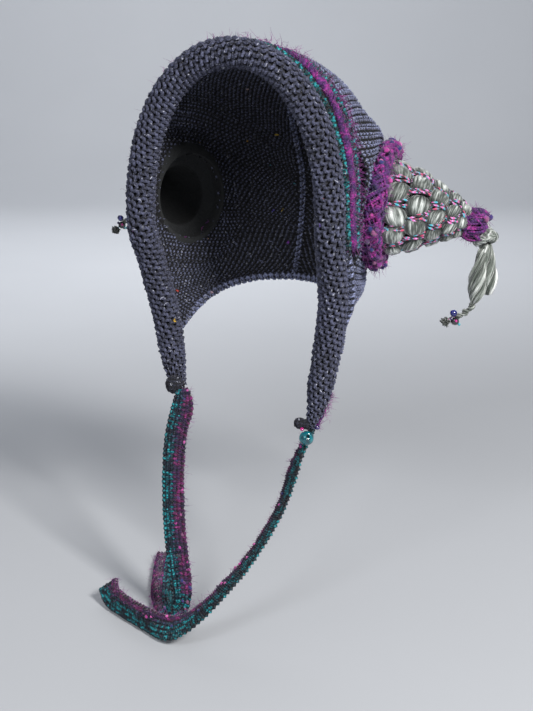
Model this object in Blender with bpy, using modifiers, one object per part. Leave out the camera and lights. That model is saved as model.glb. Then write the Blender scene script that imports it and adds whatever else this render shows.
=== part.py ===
"""Knitted jester hood with two horns, tassels and long ties, as it sits on a head.

Tables and driving sizes are in millimetres, turned into metres where the meshes are made.
+Z is up, the wearer faces -Y and the wearer's left is +X. The origin is the top of the head,
inside the crown. The lower ends of the ties lie on the surface that the head stands on.
"""

import bmesh
import bpy
import math
from mathutils import Matrix, Vector
import numpy as np

MM = 0.001
GAP = 0.3                      # space kept between neighbouring pieces

# The face edge: every row of the hood is an arch over the head
EAR_Z = -115.0                 # height at which the arches are widest
ROLL_HALF_WIDTH = 82.0         # half the width of the roll's centre line
ROLL_RISE = 121.5              # its height above ear level
ROLL_POWER = 2.1               # 2 is an ellipse, more is squarer at the shoulders
ROLL_RADIUS = 11.3
ROLL_TOP_Y = -14.0
ROLL_EAR_Y = -16.0

# Rolled edge below the ears: x, y, z of the centre line and radius
ROLL_SIDE = [
    (82.0, -15.4, -129.0, 11.3),
    (81.3, -12.4, -138.0, 11.3),
    (80.2, -7.8, -149.0, 11.3),
    (78.0, 1.0, -176.0, 11.3),
    (72.5, 6.0, -208.0, 11.0),
    (69.5, 6.0, -228.0, 10.6),
]
FLAP_LEFT = [
    (67.0, 4.0, -245.0, 10.0),
    (63.5, 2.0, -266.0, 7.0),
    (60.0, 0.0, -279.0, 4.4),
]
FLAP_RIGHT = [
    (64.5, 2.0, -243.0, 9.4),
    (59.0, -3.0, -253.0, 7.6),
    (50.5, -10.0, -258.5, 5.2),
]

# Stripe behind the roll: half width, rise, power, y at the top, y at the ears, radius
STRIPES = {
    "stripe_teal_front": (89.6, 128.7, 2.15, -2.0, -4.3, 2.2),
    "stripe_ribbon": (93.3, 127.0, 2.4, 4.0, 0.7, 3.3),
    "stripe_teal_back": (95.3, 125.2, 2.5, 9.8, 6.4, 2.2),
}
STRIPE_ENDS = {                # where each row stops, below the ear
    "stripe_teal_front": (90.8, -2.4, -136.0),
    "stripe_ribbon": (94.2, 2.4, -136.0),
    "stripe_teal_back": (95.2, 8.2, -136.0),
}

# Crown: a squared dome around a centre point, open in front and below
CROWN_CENTRE = (0.0, 20.0, -115.0)
CROWN_HALF_WIDTH = 103.0
CROWN_HALF_DEPTH = 96.0
CROWN_RISE = 126.5
CROWN_DROP = 112.0
CROWN_PLAN_POWER = 3.0
CROWN_POWER = 2.6
CROWN_BACK_SLOPE = 0.3         # how fast the top falls towards the back
CROWN_WALL = 3.6
HOLE_REACH = 25.0              # the holes for the horns run this far to each side of the wall
CROWN_ROWS = 14                # quads from the face edge to the back seam
CROWN_COLUMNS = 18             # quads from the top to the hem

# Front edge of the crown: arch above the ears, then x, y, z down to the flap
EDGE_ARCH = (96.7, 126.7, 2.5, 13.3, 9.8)
EDGE_SIDE = [
    (97.0, 12.2, -134.0),
    (92.0, 5.5, -149.0),
    (89.3, 11.8, -178.0),
    (84.0, 18.5, -205.0),
    (78.0, 20.0, -224.0),
]
# Hem from the flap round to the nape, and the seam from the nape up to the top
HEM = [
    (78.0, 20.0, -224.0),
    (72.0, 45.0, -205.0),
    (56.0, 73.0, -190.0),
    (28.0, 95.0, -183.0),
    (0.0, 102.0, -181.0),
]
SEAM_START_Y = 60.0            # where the seam leaves the top of the crown
SEAM_DENT = 4.0                # how far the seam is drawn in
SEAT_INNER = 54.0              # the crown lies flat round a horn's base up to this radius
SEAT_OUTER = 74.0              # and has its own form from here on

# Horns: centre of the base on the crown, and the turn of the axis from base to tip
HORN_BASE = (84.2, 60.0, -111.8)
HORN_TURN = {                  # azimuth and rise in degrees at the base and at the tip
    "left": (17.7, -2.5, 17.7, -17.5),
    "right": (17.7, -2.5, 58.0, 46.0),
}
AXIS_STEP = 0.5
BEND_FROM = 12.0               # the axis is straight up to here
HORN_PROFILE = [               # distance along the axis, radius
    (-7.0, 35.8),
    (6.0, 36.3),
    (14.0, 37.3),
    (22.0, 36.2),
    (32.0, 33.4),
    (42.0, 29.4),
    (51.0, 24.6),
    (60.0, 19.4),
    (66.0, 15.8),
    (69.0, 12.3),
    (71.0, 8.3),
    (72.5, 5.6),
    (80.0, 5.0),
]
HORN_WALL = 8.0                # depth of the wound roving
HORN_HOLLOW_END = 56.0
HORN_MOUTH = 4.0               # how far the hollow reaches out of the horn's open end
RING_AT = 6.4                  # base ring: distance along the axis, radii
RING_RADIUS = 42.9
RING_TUBE = 6.0
COLLAR_AT = 78.0               # fuzzy collar at the tip
COLLAR_RADIUS = 9.8
COLLAR_TUBE = 3.5
COLLAR_HALF_LENGTH = 6.2

# Tassel, measured from its knot: sideways, down, towards the front, radius
KNOT_AT = {"left": 93.3, "right": 106.0}    # distance along each horn's axis
TURN_END = 93.3                # the axis is straight again from here
KNOT_DROP = {"left": 9.0, "right": 13.5}
KNOT_RADIUS = 8.3
LOCKS = {
    "long": [(0.5, 4.0, 0.0, 4.6), (0.5, 14.0, 0.0, 6.2), (0.0, 26.0, 0.0, 8.0),
             (1.0, 36.0, 0.0, 6.6), (2.5, 44.0, 0.0, 3.0)],
    "low": [(-3.0, 7.0, 2.0, 3.4), (-6.0, 20.0, 3.5, 4.4), (-7.5, 34.0, 4.0, 7.0),
            (-8.0, 45.0, 3.0, 6.2), (-9.0, 53.0, 2.0, 2.8)],
    "cord": [(-9.0, 51.0, 2.0, 1.8), (-12.0, 57.0, 2.0, 2.5), (-14.0, 59.6, 2.0, 1.7),
             (-16.5, 61.7, 2.0, 2.4), (-20.2, 64.2, 2.0, 1.4)],
}
CORD_BEADS = {                 # sideways, down, front, radius
    "bead_black": (-23.4, 65.6, 2.0, 2.75),
    "bead_blue": (-25.9, 59.9, 2.0, 3.0),
    "cord_end": (-30.6, 66.6, 2.0, 4.0),
}
SIDEWAYS = Vector((0.891, 0.454, 0.0))
FORWARD = Vector((0.454, -0.891, 0.0))

# Beads at the left flap: x, y, z, radius
FLAP_BEADS = {
    "flap_bead_teal": (60.3, -6.9, -285.1, 5.8),
    "flap_bead_violet": (66.3, 2.4, -280.4, 2.0),
}

# Ties: x, y, z of the centre line, the way to the purple edge, width
TIE_THICKNESS = 4.6
TIE_LEFT = [
    (60.3, 3.8, -280.7, -0.40, 0.90, 0.00, 8.5),
    (58.9, 4.1, -285.2, -0.50, 0.86, 0.00, 9.5),
    (56.2, 2.6, -291.0, -0.60, 0.80, 0.00, 11.0),
    (53.8, -1.0, -298.2, -0.65, 0.75, -0.05, 13.0),
    (50.9, -4.5, -307.2, -0.68, 0.72, -0.10, 17.0),
    (48.7, -9.0, -318.5, -0.69, 0.71, -0.15, 20.0),
    (46.4, -17.0, -335.0, -0.62, 0.77, -0.16, 20.0),
    (42.2, -27.5, -351.5, -0.62, 0.78, -0.14, 20.0),
    (35.9, -38.5, -367.1, -0.62, 0.78, -0.11, 20.0),
    (27.3, -51.0, -384.6, -0.62, 0.78, -0.08, 20.0),
    (18.4, -65.0, -398.2, -0.61, 0.79, 0.00, 20.0),
    (9.0, -78.0, -411.0, -0.61, 0.78, 0.10, 20.0),
    (-2.5, -87.0, -421.8, -0.55, 0.75, 0.30, 20.0),
    (-15.0, -90.5, -428.6, -0.40, 0.65, 0.60, 20.0),
    (-28.0, -88.5, -430.4, -0.22, 0.45, 0.85, 20.0),
    (-40.0, -84.5, -430.6, -0.05, 0.20, 0.97, 20.0),
    (-53.0, -79.5, -430.6, 0.05, 0.08, 0.99, 20.0),
    (-67.0, -73.5, -430.6, 0.12, 0.08, 0.98, 20.0),
    (-81.0, -66.5, -430.4, 0.22, 0.12, 0.96, 20.0),
    (-94.0, -58.0, -430.0, 0.42, 0.18, 0.88, 20.0),
    (-104.5, -47.5, -429.0, 0.70, 0.15, 0.68, 19.0),
]
TIE_RIGHT = [
    (-49.3, -11.1, -259.9, 0.75, 0.60, 0.10, 10.0),
    (-47.2, -12.8, -264.2, 0.86, 0.48, 0.10, 16.0),
    (-45.9, -15.5, -271.5, 0.89, 0.45, 0.00, 19.5),
    (-48.6, -20.5, -291.5, 0.89, 0.45, 0.00, 20.0),
    (-49.2, -26.0, -324.1, 0.89, 0.45, 0.00, 20.0),
    (-46.4, -31.5, -347.7, 0.89, 0.45, 0.00, 20.0),
    (-41.5, -38.0, -370.5, 0.89, 0.45, 0.00, 20.0),
    (-35.0, -45.0, -392.7, 0.89, 0.45, 0.00, 20.0),
    (-29.0, -50.5, -410.5, 0.91, 0.40, 0.00, 20.0),
    (-26.4, -54.0, -419.6, 0.98, 0.19, -0.08, 19.0),
    (-26.5, -57.7, -427.0, 0.93, -0.08, -0.36, 18.0),
    (-32.5, -60.5, -431.5, 0.47, -0.56, -0.68, 17.0),
    (-44.5, -53.1, -433.0, -0.28, -0.83, -0.49, 17.0),
    (-58.0, -37.2, -436.0, -0.73, -0.68, -0.08, 19.0),
    (-70.4, -17.6, -437.4, -0.89, -0.45, 0.00, 20.0),
    (-83.1, 4.6, -437.8, -0.89, -0.45, 0.00, 20.0),
    (-96.3, 29.4, -437.8, -0.89, -0.45, 0.00, 20.0),
    (-107.3, 51.6, -437.8, -0.89, -0.45, 0.00, 20.0),
]
TIE_RINGS = 38
TIE_SIDES = 8

FINISHES = {                   # colour, roughness
    "slate_knit": ((0.075, 0.075, 0.10), 0.85),
    "teal_yarn": ((0.01, 0.20, 0.24), 0.8),
    "mohair_ribbon": ((0.26, 0.02, 0.25), 0.9),
    "roving": ((0.30, 0.32, 0.29), 0.75),
    "bead_glass_teal": ((0.0, 0.10, 0.12), 0.15),
    "bead_glass_blue": ((0.02, 0.02, 0.35), 0.15),
    "bead_glass_black": ((0.01, 0.01, 0.012), 0.15),
    "bead_glass_violet": ((0.10, 0.02, 0.25), 0.15),
}


def clear_scene():
    for old in list(bpy.data.objects):
        bpy.data.objects.remove(old)


def new_collection(name):
    group = bpy.data.collections.new(name)
    bpy.context.scene.collection.children.link(group)
    return group


def finish(slot):
    """The Principled material of a slot, made once."""
    found = bpy.data.materials.get(slot)
    if found:
        return found
    colour, roughness = FINISHES[slot]
    made = bpy.data.materials.new(slot)
    made.use_nodes = True
    shader = made.node_tree.nodes["Principled BSDF"]
    shader.inputs["Base Color"].default_value = (*colour, 1.0)
    shader.inputs["Roughness"].default_value = roughness
    shader.inputs["Metallic"].default_value = 0.0
    return made


def place(name, mesh, slot, group):
    """Makes an object of a mesh, with its material, in a collection."""
    piece = bpy.data.objects.new(name, mesh)
    group.objects.link(piece)
    if slot:
        mesh.materials.append(finish(slot))
        mesh.shade_smooth()
    else:
        piece.hide_render = True
        piece.display_type = "WIRE"
    return piece


def smooth_path(rows, count):
    """Passes a smooth curve through the rows and reads it at even steps of length."""
    rows = np.array(rows, float)
    knots = np.r_[0.0, np.cumsum(np.linalg.norm(np.diff(rows[:, :3], axis=0), axis=1))]
    slopes = np.gradient(rows, knots, axis=0)
    where = np.linspace(0.0, knots[-1], 40 * len(rows))
    cell = np.clip(np.searchsorted(knots, where, side="right") - 1, 0, len(knots) - 2)
    span = (knots[cell + 1] - knots[cell])[:, None]
    t = (where[:, None] - knots[cell][:, None]) / span
    dense = ((2 * t**3 - 3 * t**2 + 1) * rows[cell] + (t**3 - 2 * t**2 + t) * span * slopes[cell]
             + (3 * t**2 - 2 * t**3) * rows[cell + 1] + (t**3 - t**2) * span * slopes[cell + 1])
    length = np.r_[0.0, np.cumsum(np.linalg.norm(np.diff(dense[:, :3], axis=0), axis=1))]
    even = np.linspace(0.0, length[-1], count)
    return np.stack([np.interp(even, length, column) for column in dense.T], axis=1)


def arch(half_width, rise, power, y_top, y_ear, count):
    """Points of one arch from the top of the head down to ear level on the left."""
    turn = np.linspace(math.pi / 2, 0.0, count)
    up = np.sin(turn) ** (2 / power)
    out = np.cos(turn) ** (2 / power)
    return np.stack([half_width * out, y_ear + (y_top - y_ear) * up, EAR_Z + rise * up], axis=1)


def both_sides(left, right):
    """Joins two runs that start at the same top point; the right one is mirrored."""
    flipped = np.array(right, float)[:0:-1].copy()
    flipped[:, 0] *= -1
    return np.vstack([flipped, left])


def tube_curve(name, points, radii, resolution):
    """A bevelled curve with filled caps through the points, radius by point."""
    data = bpy.data.curves.new(name, "CURVE")
    data.dimensions = "3D"
    data.bevel_depth = MM
    data.bevel_resolution = resolution
    data.use_fill_caps = True
    line = data.splines.new("POLY")
    line.points.add(len(points) - 1)
    for point, where, radius in zip(line.points, points, radii):
        point.co = (where[0] * MM, where[1] * MM, where[2] * MM, 1.0)
        point.radius = radius
    return bpy.data.objects.new(name, data)


def tube(name, points, radii, resolution, slot, group):
    """A round tube as a closed mesh object."""
    curve = tube_curve(name + "_path", points, radii, resolution)
    group.objects.link(curve)
    bpy.context.view_layer.update()
    seen = curve.evaluated_get(bpy.context.evaluated_depsgraph_get())
    mesh = bpy.data.meshes.new_from_object(seen)
    shape = bmesh.new()
    shape.from_mesh(mesh)
    bmesh.ops.remove_doubles(shape, verts=shape.verts, dist=1e-6)
    bmesh.ops.recalc_face_normals(shape, faces=shape.faces)
    shape.to_mesh(mesh)
    shape.free()
    mesh.materials.clear()
    bpy.data.objects.remove(curve)
    return place(name, mesh, slot, group)


def ball(name, centre, radius, sides, rings, slot, group):
    """A round bead or knot."""
    mesh = bpy.data.meshes.new(name)
    shape = bmesh.new()
    bmesh.ops.create_uvsphere(shape, u_segments=sides, v_segments=rings, radius=radius * MM)
    shape.to_mesh(mesh)
    shape.free()
    piece = place(name, mesh, slot, group)
    piece.location = Vector(centre) * MM
    return piece


def ring(name, centre, axis, radius, tube_radius, half_length, sides, slot, group):
    """A torus across an axis; its section is tube_radius thick and half_length long."""
    bpy.ops.mesh.primitive_torus_add(major_radius=radius * MM, minor_radius=tube_radius * MM,
                                     major_segments=sides[0], minor_segments=sides[1])
    made = bpy.context.active_object
    mesh = made.data
    bpy.data.objects.remove(made)
    mesh.transform(Matrix.Diagonal((1.0, 1.0, half_length / tube_radius, 1.0)))
    piece = place(name, mesh, slot, group)
    piece.location = Vector(centre) * MM
    piece.rotation_euler = Vector(axis).to_track_quat("Z", "Y").to_euler()
    return piece


def combine(piece, others, operation):
    """Adds the other objects to a piece, or takes them from it."""
    for other in others:
        step = piece.modifiers.new(operation.lower() + "_" + other.name, "BOOLEAN")
        step.operation = operation
        step.object = other
        step.solver = "EXACT"


def crown_radius(direction):
    """Distance from the crown's centre to its outer surface along unit directions."""
    x, y, z = np.moveaxis(direction, -1, 0)
    high = z + CROWN_BACK_SLOPE * np.maximum(y, 0.0) * np.clip(2.0 * z, 0.0, 1.0)
    vertical = np.where(z > 0, high / CROWN_RISE, z / CROWN_DROP)
    plan = (np.abs(x / CROWN_HALF_WIDTH) ** CROWN_PLAN_POWER
            + np.abs(y / CROWN_HALF_DEPTH) ** CROWN_PLAN_POWER)
    plan = plan ** (CROWN_POWER / CROWN_PLAN_POWER)
    return (plan + np.abs(vertical) ** CROWN_POWER) ** (-1.0 / CROWN_POWER)


def split_radius(points):
    """Unit directions from the crown's centre and the distance beyond its plain form."""
    arms = points - np.array(CROWN_CENTRE)
    reach = np.linalg.norm(arms, axis=-1)
    directions = arms / reach[..., None]
    return directions, reach - crown_radius(directions)


def median_point(angle, dent):
    """A point of the crown on the middle plane; the angle turns from up to the back."""
    direction = np.array([0.0, math.sin(angle), math.cos(angle)])
    reach = crown_radius(direction) - dent
    return np.array(CROWN_CENTRE) + reach * direction


def coons(top, hem, front, seam):
    """Fills a four sided patch from its borders; rows run down, columns run back."""
    down = np.linspace(0, 1, len(front))[:, None, None]
    back = np.linspace(0, 1, len(top))[None, :, None]
    ruled = (1 - down) * top[None] + down * hem[None] + (1 - back) * front[:, None] + back * seam[:, None]
    corners = ((1 - down) * (1 - back) * front[0] + (1 - down) * back * seam[0]
               + down * (1 - back) * front[-1] + down * back * seam[-1])
    return ruled - corners


def seat_for_horn(points):
    """Draws the crown onto a plane round the base of the left horn."""
    base, heading = along(horn_axis("left"), 0.0)
    arms = points - base
    height = arms @ heading
    radius = np.linalg.norm(arms - height[..., None] * heading, axis=-1)
    share = np.clip((SEAT_OUTER - radius) / (SEAT_OUTER - SEAT_INNER), 0.0, 1.0)
    share = share * share * (3 - 2 * share)
    return points - (height * share)[..., None] * heading


def crown_half():
    """Grid of points of the crown's left half, from the face edge to the back seam."""
    edge = np.vstack([arch(*EDGE_ARCH, 9), EDGE_SIDE])
    front = smooth_path(edge, CROWN_COLUMNS + 1)
    hem = smooth_path(HEM, CROWN_ROWS + 1)
    first = math.atan2(front[0][1] - CROWN_CENTRE[1], front[0][2] - CROWN_CENTRE[2])
    turn_in = math.atan2(SEAM_START_Y - CROWN_CENTRE[1], 105.0)
    fold = np.array([median_point(a, 0.0) for a in np.linspace(first, turn_in, CROWN_ROWS + 1)])
    fold[0] = front[0]
    last = math.atan2(HEM[-1][1] - CROWN_CENTRE[1], HEM[-1][2] - CROWN_CENTRE[2])
    steps = np.linspace(0, 1, 24)
    path = [median_point(turn_in + (last - turn_in) * s, SEAM_DENT * min(1.0, 4 * s)) for s in steps[:-1]]
    seam = smooth_path(np.vstack([path, HEM[-1]]), CROWN_COLUMNS + 1)
    patches = [split_radius(side) for side in (fold, hem, front, seam)]
    direction = coons(*[patch[0] for patch in patches])
    direction /= np.linalg.norm(direction, axis=-1, keepdims=True)
    extra = coons(*[patch[1][:, None] for patch in patches])[..., 0]
    down = np.linspace(0, 1, CROWN_COLUMNS + 1)[:, None]
    back = np.linspace(0, 1, CROWN_ROWS + 1)[None, :]
    inside = np.sqrt(16 * down * (1 - down) * back * (1 - back))
    reach = crown_radius(direction) + extra * (1 - inside)
    return seat_for_horn(np.array(CROWN_CENTRE) + direction * reach[..., None])


def grid_mesh(name, points):
    """An open quad mesh over a grid of points in millimetres."""
    rows, columns = points.shape[:2]
    shape = bmesh.new()
    verts = [[shape.verts.new(Vector(p) * MM) for p in row] for row in points]
    for i in range(rows - 1):
        for j in range(columns - 1):
            shape.faces.new((verts[i][j], verts[i + 1][j], verts[i + 1][j + 1], verts[i][j + 1]))
    mesh = bpy.data.meshes.new(name)
    shape.to_mesh(mesh)
    shape.free()
    return mesh


def loft_mesh(name, rings):
    """A closed mesh through rings of points in millimetres, with flat ends."""
    shape = bmesh.new()
    loops = [[shape.verts.new(Vector(p) * MM) for p in points] for points in rings]
    count = len(loops[0])
    for low, high in zip(loops[:-1], loops[1:]):
        for k in range(count):
            shape.faces.new((low[k], low[(k + 1) % count], high[(k + 1) % count], high[k]))
    shape.faces.new(loops[0])
    shape.faces.new(loops[-1][::-1])
    bmesh.ops.recalc_face_normals(shape, faces=shape.faces)
    mesh = bpy.data.meshes.new(name)
    shape.to_mesh(mesh)
    shape.free()
    return mesh


def horn_axis(side):
    """Distances, points and directions along a horn's bent axis."""
    az0, rise0, az1, rise1 = [math.radians(v) for v in HORN_TURN[side]]
    hand = 1.0 if side == "left" else -1.0
    stations = np.arange(HORN_PROFILE[0][0], KNOT_AT[side] + AXIS_STEP, AXIS_STEP)
    share = np.clip((stations - BEND_FROM) / (TURN_END - BEND_FROM), 0.0, 1.0)
    azimuth = az0 + (az1 - az0) * share
    rise = rise0 + (rise1 - rise0) * share
    heading = np.stack([hand * np.cos(azimuth) * np.cos(rise), np.sin(azimuth) * np.cos(rise),
                        np.sin(rise)], axis=1)
    run = np.vstack([np.zeros(3), np.cumsum(heading[:-1] * AXIS_STEP, axis=0)])
    start = np.array([np.interp(0.0, stations, column) for column in run.T])
    base = np.array(HORN_BASE) * (hand, 1, 1)
    return stations, run - start + base, heading


def along(axis, distance):
    """The point and heading of a horn's axis at a distance from its base."""
    stations, points, headings = axis
    where = np.array([np.interp(distance, stations, column) for column in points.T])
    heading = np.array([np.interp(distance, stations, column) for column in headings.T])
    return where, heading / np.linalg.norm(heading)


def build_roll(group):
    top = arch(ROLL_HALF_WIDTH, ROLL_RISE, ROLL_POWER, ROLL_TOP_Y, ROLL_EAR_Y, 9)
    top = np.c_[top, np.full(len(top), ROLL_RADIUS)]
    left = np.vstack([top, ROLL_SIDE, FLAP_LEFT])
    right = np.vstack([top, ROLL_SIDE, FLAP_RIGHT])
    path = smooth_path(both_sides(left, right), 64)
    return tube("face_roll", path[:, :3], path[:, 3], 3, "slate_knit", group)


def build_stripes(group):
    for name, (half_width, rise, power, y_top, y_ear, radius) in STRIPES.items():
        side = np.vstack([arch(half_width, rise, power, y_top, y_ear, 9),
                          STRIPE_ENDS[name]])
        path = smooth_path(both_sides(side, side), 38)
        slot = "mohair_ribbon" if name == "stripe_ribbon" else "teal_yarn"
        tube(name, path, np.full(len(path), radius), 2, slot, group)


def build_crown(group, cutters):
    crown = place("crown", grid_mesh("crown", crown_half()), "slate_knit", group)
    mirror = crown.modifiers.new("both_halves", "MIRROR")
    mirror.merge_threshold = 0.00001
    wall = crown.modifiers.new("wall", "SOLIDIFY")
    wall.thickness = CROWN_WALL * MM
    wall.offset = -1.0
    holes = []
    for side in HORN_TURN:
        axis = horn_axis(side)
        start, heading = along(axis, 0.0)
        points = [start - HOLE_REACH * heading, start + HOLE_REACH * heading]
        radius = HORN_PROFILE[1][1] + 2 * GAP
        holes.append(tube("hole_" + side, points, (radius, radius), 8, None, cutters))
    combine(crown, holes, "DIFFERENCE")


def build_horn(side, group, cutters):
    axis = horn_axis(side)
    profile = np.array(HORN_PROFILE)
    points = [along(axis, s)[0] for s in profile[:, 0]]
    horn = tube("horn_" + side, points, profile[:, 1], 7, "roving", group)
    inside = profile[profile[:, 0] < HORN_HOLLOW_END]
    radii = np.r_[inside[0, 1], inside[:, 1]] - HORN_WALL
    start, heading = along(axis, inside[0, 0])
    hollow = [start - HORN_MOUTH * heading] + [along(axis, s)[0] for s in inside[:, 0]]
    core = tube("hollow_" + side, hollow, radii, 6, None, cutters)
    combine(horn, [core], "DIFFERENCE")
    base, heading = along(axis, 0.0)
    ring("horn_ring_" + side, base + RING_AT * heading, heading, RING_RADIUS, RING_TUBE, RING_TUBE, (24, 8),
         "mohair_ribbon", group)
    where, heading = along(axis, COLLAR_AT)
    ring("tip_ring_" + side, where, heading, COLLAR_RADIUS, COLLAR_TUBE, COLLAR_HALF_LENGTH,
         (16, 8), "mohair_ribbon", group)


def hang(knot, row):
    """Turns a tassel table's sideways, down and front offsets into a point."""
    return np.array(knot + row[0] * SIDEWAYS + row[2] * FORWARD - Vector((0, 0, row[1])))


def build_tassel(side, group, cutters):
    axis = horn_axis(side)
    end = along(axis, KNOT_AT[side])[0]
    knot = Vector(end) - Vector((0, 0, KNOT_DROP[side]))
    tassel = ball("tassel_" + side, knot, KNOT_RADIUS, 12, 8, "roving", group)
    stub_start, heading = along(axis, HORN_PROFILE[-1][0] + 2 * GAP)
    stub = [stub_start, stub_start + 5.0 * heading, np.array(knot) * 0.6 + 0.4 * np.array(end)]
    parts = [tube("stub_" + side, stub, (4.6, 4.6, 4.8), 3, None, cutters)]
    for name, rows in LOCKS.items():
        path = smooth_path([(*hang(knot, row), row[3]) for row in rows], 9)
        parts.append(tube(f"{name}_{side}", path[:, :3], path[:, 3], 2, None, cutters))
    combine(tassel, parts, "UNION")
    for name, row in CORD_BEADS.items():
        slot = {"bead_black": "bead_glass_black", "bead_blue": "bead_glass_blue"}.get(name, "roving")
        ball(f"{name}_{side}", hang(knot, row), row[3], 10, 6, slot, group)


def build_tie(name, rows, group):
    """A flat knitted band lofted along its centre line, rounded at its edges."""
    path = smooth_path(rows, TIE_RINGS)
    centres = path[:, :3]
    tangents = np.gradient(centres, axis=0)
    tangents /= np.linalg.norm(tangents, axis=1, keepdims=True)
    widths = path[:, 3:6] - np.sum(path[:, 3:6] * tangents, axis=1, keepdims=True) * tangents
    widths /= np.linalg.norm(widths, axis=1, keepdims=True)
    normals = np.cross(tangents, widths)
    turn = (np.arange(TIE_SIDES) + 0.5) * 2 * math.pi / TIE_SIDES
    across = np.sign(np.cos(turn)) * np.abs(np.cos(turn)) ** 0.6
    through = np.sign(np.sin(turn)) * np.abs(np.sin(turn)) ** 0.8
    half = path[:, 6] / 2 / across.max()
    thick = TIE_THICKNESS / 2 / through.max()
    rings = (centres[:, None] + (half[:, None] * across)[..., None] * widths[:, None]
             + (thick * through)[None, :, None] * normals[:, None])
    place(name, loft_mesh(name, rings), "teal_yarn", group)


clear_scene()
hat = new_collection("jester_hat")
cutters = new_collection("cutters")
build_roll(hat)
build_stripes(hat)
build_crown(hat, cutters)
for side in ("left", "right"):
    build_horn(side, hat, cutters)
    build_tassel(side, hat, cutters)
for bead, (x, y, z, radius) in FLAP_BEADS.items():
    slot = "bead_glass_teal" if bead == "flap_bead_teal" else "bead_glass_violet"
    sides = 14 if bead == "flap_bead_teal" else 10
    ball(bead, (x, y, z), radius, sides, sides * 2 // 3, slot, hat)
build_tie("tie_left", TIE_LEFT, hat)
build_tie("tie_right", TIE_RIGHT, hat)
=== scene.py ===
"""Knitted jester hood: yarns, wound roving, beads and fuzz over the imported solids.

Lengths are in millimetres until mesh_piece turns them into metres; the camera, the lights
and the floor are in metres. +Z is up, the wearer faces -Y and the wearer's left is +X.
"""

import math
from functools import partialmethod

import bpy
import numpy as np
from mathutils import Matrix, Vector


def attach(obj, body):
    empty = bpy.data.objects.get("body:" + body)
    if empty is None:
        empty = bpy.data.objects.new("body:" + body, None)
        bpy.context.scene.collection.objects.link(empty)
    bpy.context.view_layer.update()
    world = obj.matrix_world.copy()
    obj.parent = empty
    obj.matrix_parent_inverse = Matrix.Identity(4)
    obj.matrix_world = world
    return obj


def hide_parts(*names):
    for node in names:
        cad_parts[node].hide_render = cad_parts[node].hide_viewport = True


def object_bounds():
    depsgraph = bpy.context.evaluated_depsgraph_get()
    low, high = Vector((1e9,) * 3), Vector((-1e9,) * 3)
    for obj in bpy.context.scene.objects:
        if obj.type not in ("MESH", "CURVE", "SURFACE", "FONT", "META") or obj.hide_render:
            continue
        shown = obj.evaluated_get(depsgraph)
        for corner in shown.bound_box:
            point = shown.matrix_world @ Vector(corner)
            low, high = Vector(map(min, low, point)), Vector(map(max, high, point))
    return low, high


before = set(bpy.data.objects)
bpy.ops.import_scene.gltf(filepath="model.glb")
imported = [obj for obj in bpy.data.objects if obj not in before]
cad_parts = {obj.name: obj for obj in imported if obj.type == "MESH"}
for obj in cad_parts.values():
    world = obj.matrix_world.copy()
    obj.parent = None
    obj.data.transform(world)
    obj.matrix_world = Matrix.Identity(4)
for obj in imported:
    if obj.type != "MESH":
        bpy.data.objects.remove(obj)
cad_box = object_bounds()
MM = 0.001
TURN = 2 * math.pi


# Camera, light and floor
# The camera stands where the photograph was taken from, to the wearer's left and a little
# above the chin. The floor is one pale sheet of paper that turns up far behind.

VIEW_TURN = math.radians(27)
VIEW_RISE = math.radians(14)
VIEW_DISTANCE = 1
VIEW_TARGET = Vector((0.01972, 0.00354, -0.22685))
VIEW_LENS_MM = 64

away = Vector((math.sin(VIEW_TURN) * math.cos(VIEW_RISE),
               -math.cos(VIEW_TURN) * math.cos(VIEW_RISE), math.sin(VIEW_RISE)))
camera = bpy.data.objects.new("camera", bpy.data.cameras.new("camera"))
bpy.context.scene.collection.objects.link(camera)
camera.data.lens = VIEW_LENS_MM
camera.data.sensor_width = 36
camera.data.sensor_fit = "AUTO"
camera.location = VIEW_TARGET + away * VIEW_DISTANCE
camera.rotation_euler = away.to_track_quat("Z", "Y").to_euler()
bpy.context.scene.camera = camera
bpy.context.scene.view_settings.view_transform = "Standard"


def soft_light(name, turn, rise, distance, size, power, colour, aim=VIEW_TARGET):
    """A square soft light round the hood, at a turn and rise in degrees from the front."""
    turn = math.radians(turn)
    rise = math.radians(rise)
    lamp = bpy.data.objects.new(name, bpy.data.lights.new(name, "AREA"))
    lamp.data.size = size
    lamp.data.energy = power
    lamp.data.color = colour
    towards = Vector((math.sin(turn) * math.cos(rise), -math.cos(turn) * math.cos(rise), math.sin(rise)))
    lamp.location = VIEW_TARGET + towards * distance
    lamp.rotation_euler = (lamp.location - aim).to_track_quat("Z", "Y").to_euler()
    bpy.context.scene.collection.objects.link(lamp)


soft_light("window", 60, 34, 2.2, 0.45, 54, (1, 0.985, 0.96))
soft_light("front_fill", 5, 40, 2.2, 0.7, 12, (0.96, 0.98, 1))
soft_light("back_fill", -150, 35, 2.4, 1.4, 9, (0.97, 0.98, 1))
soft_light("wall_wash", -153, 50, 2, 1.2, 40, (0.95, 0.97, 1), Vector((-2.9, 2.9, 0.1)))

world = bpy.data.worlds.new("studio")
bpy.context.scene.world = world
world.use_nodes = True
sky = world.node_tree.nodes["Background"].inputs
sky["Color"].default_value = (0.76, 0.79, 0.85, 1)
sky["Strength"].default_value = 0.36


class Value:
    """A socket of the finish being made; sums and products of values add its Math nodes."""

    def __init__(self, tree, socket):
        self.tree = tree
        self.socket = socket

    def maths(self, operation, *others):
        node = self.tree.nodes.new("ShaderNodeMath")
        node.operation = operation
        for entry, given in zip(node.inputs, (self, *others)):
            if isinstance(given, Value):
                self.tree.links.new(given.socket, entry)
            else:
                entry.default_value = given
        return Value(self.tree, node.outputs[0])

    def __rsub__(self, other):
        return self.maths("MULTIPLY", -1).maths("ADD", other)

    __add__ = partialmethod(maths, "ADD")
    __sub__ = partialmethod(maths, "SUBTRACT")
    __mul__ = partialmethod(maths, "MULTIPLY")
    __gt__ = partialmethod(maths, "GREATER_THAN")
    sine = partialmethod(maths, "SINE")


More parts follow.
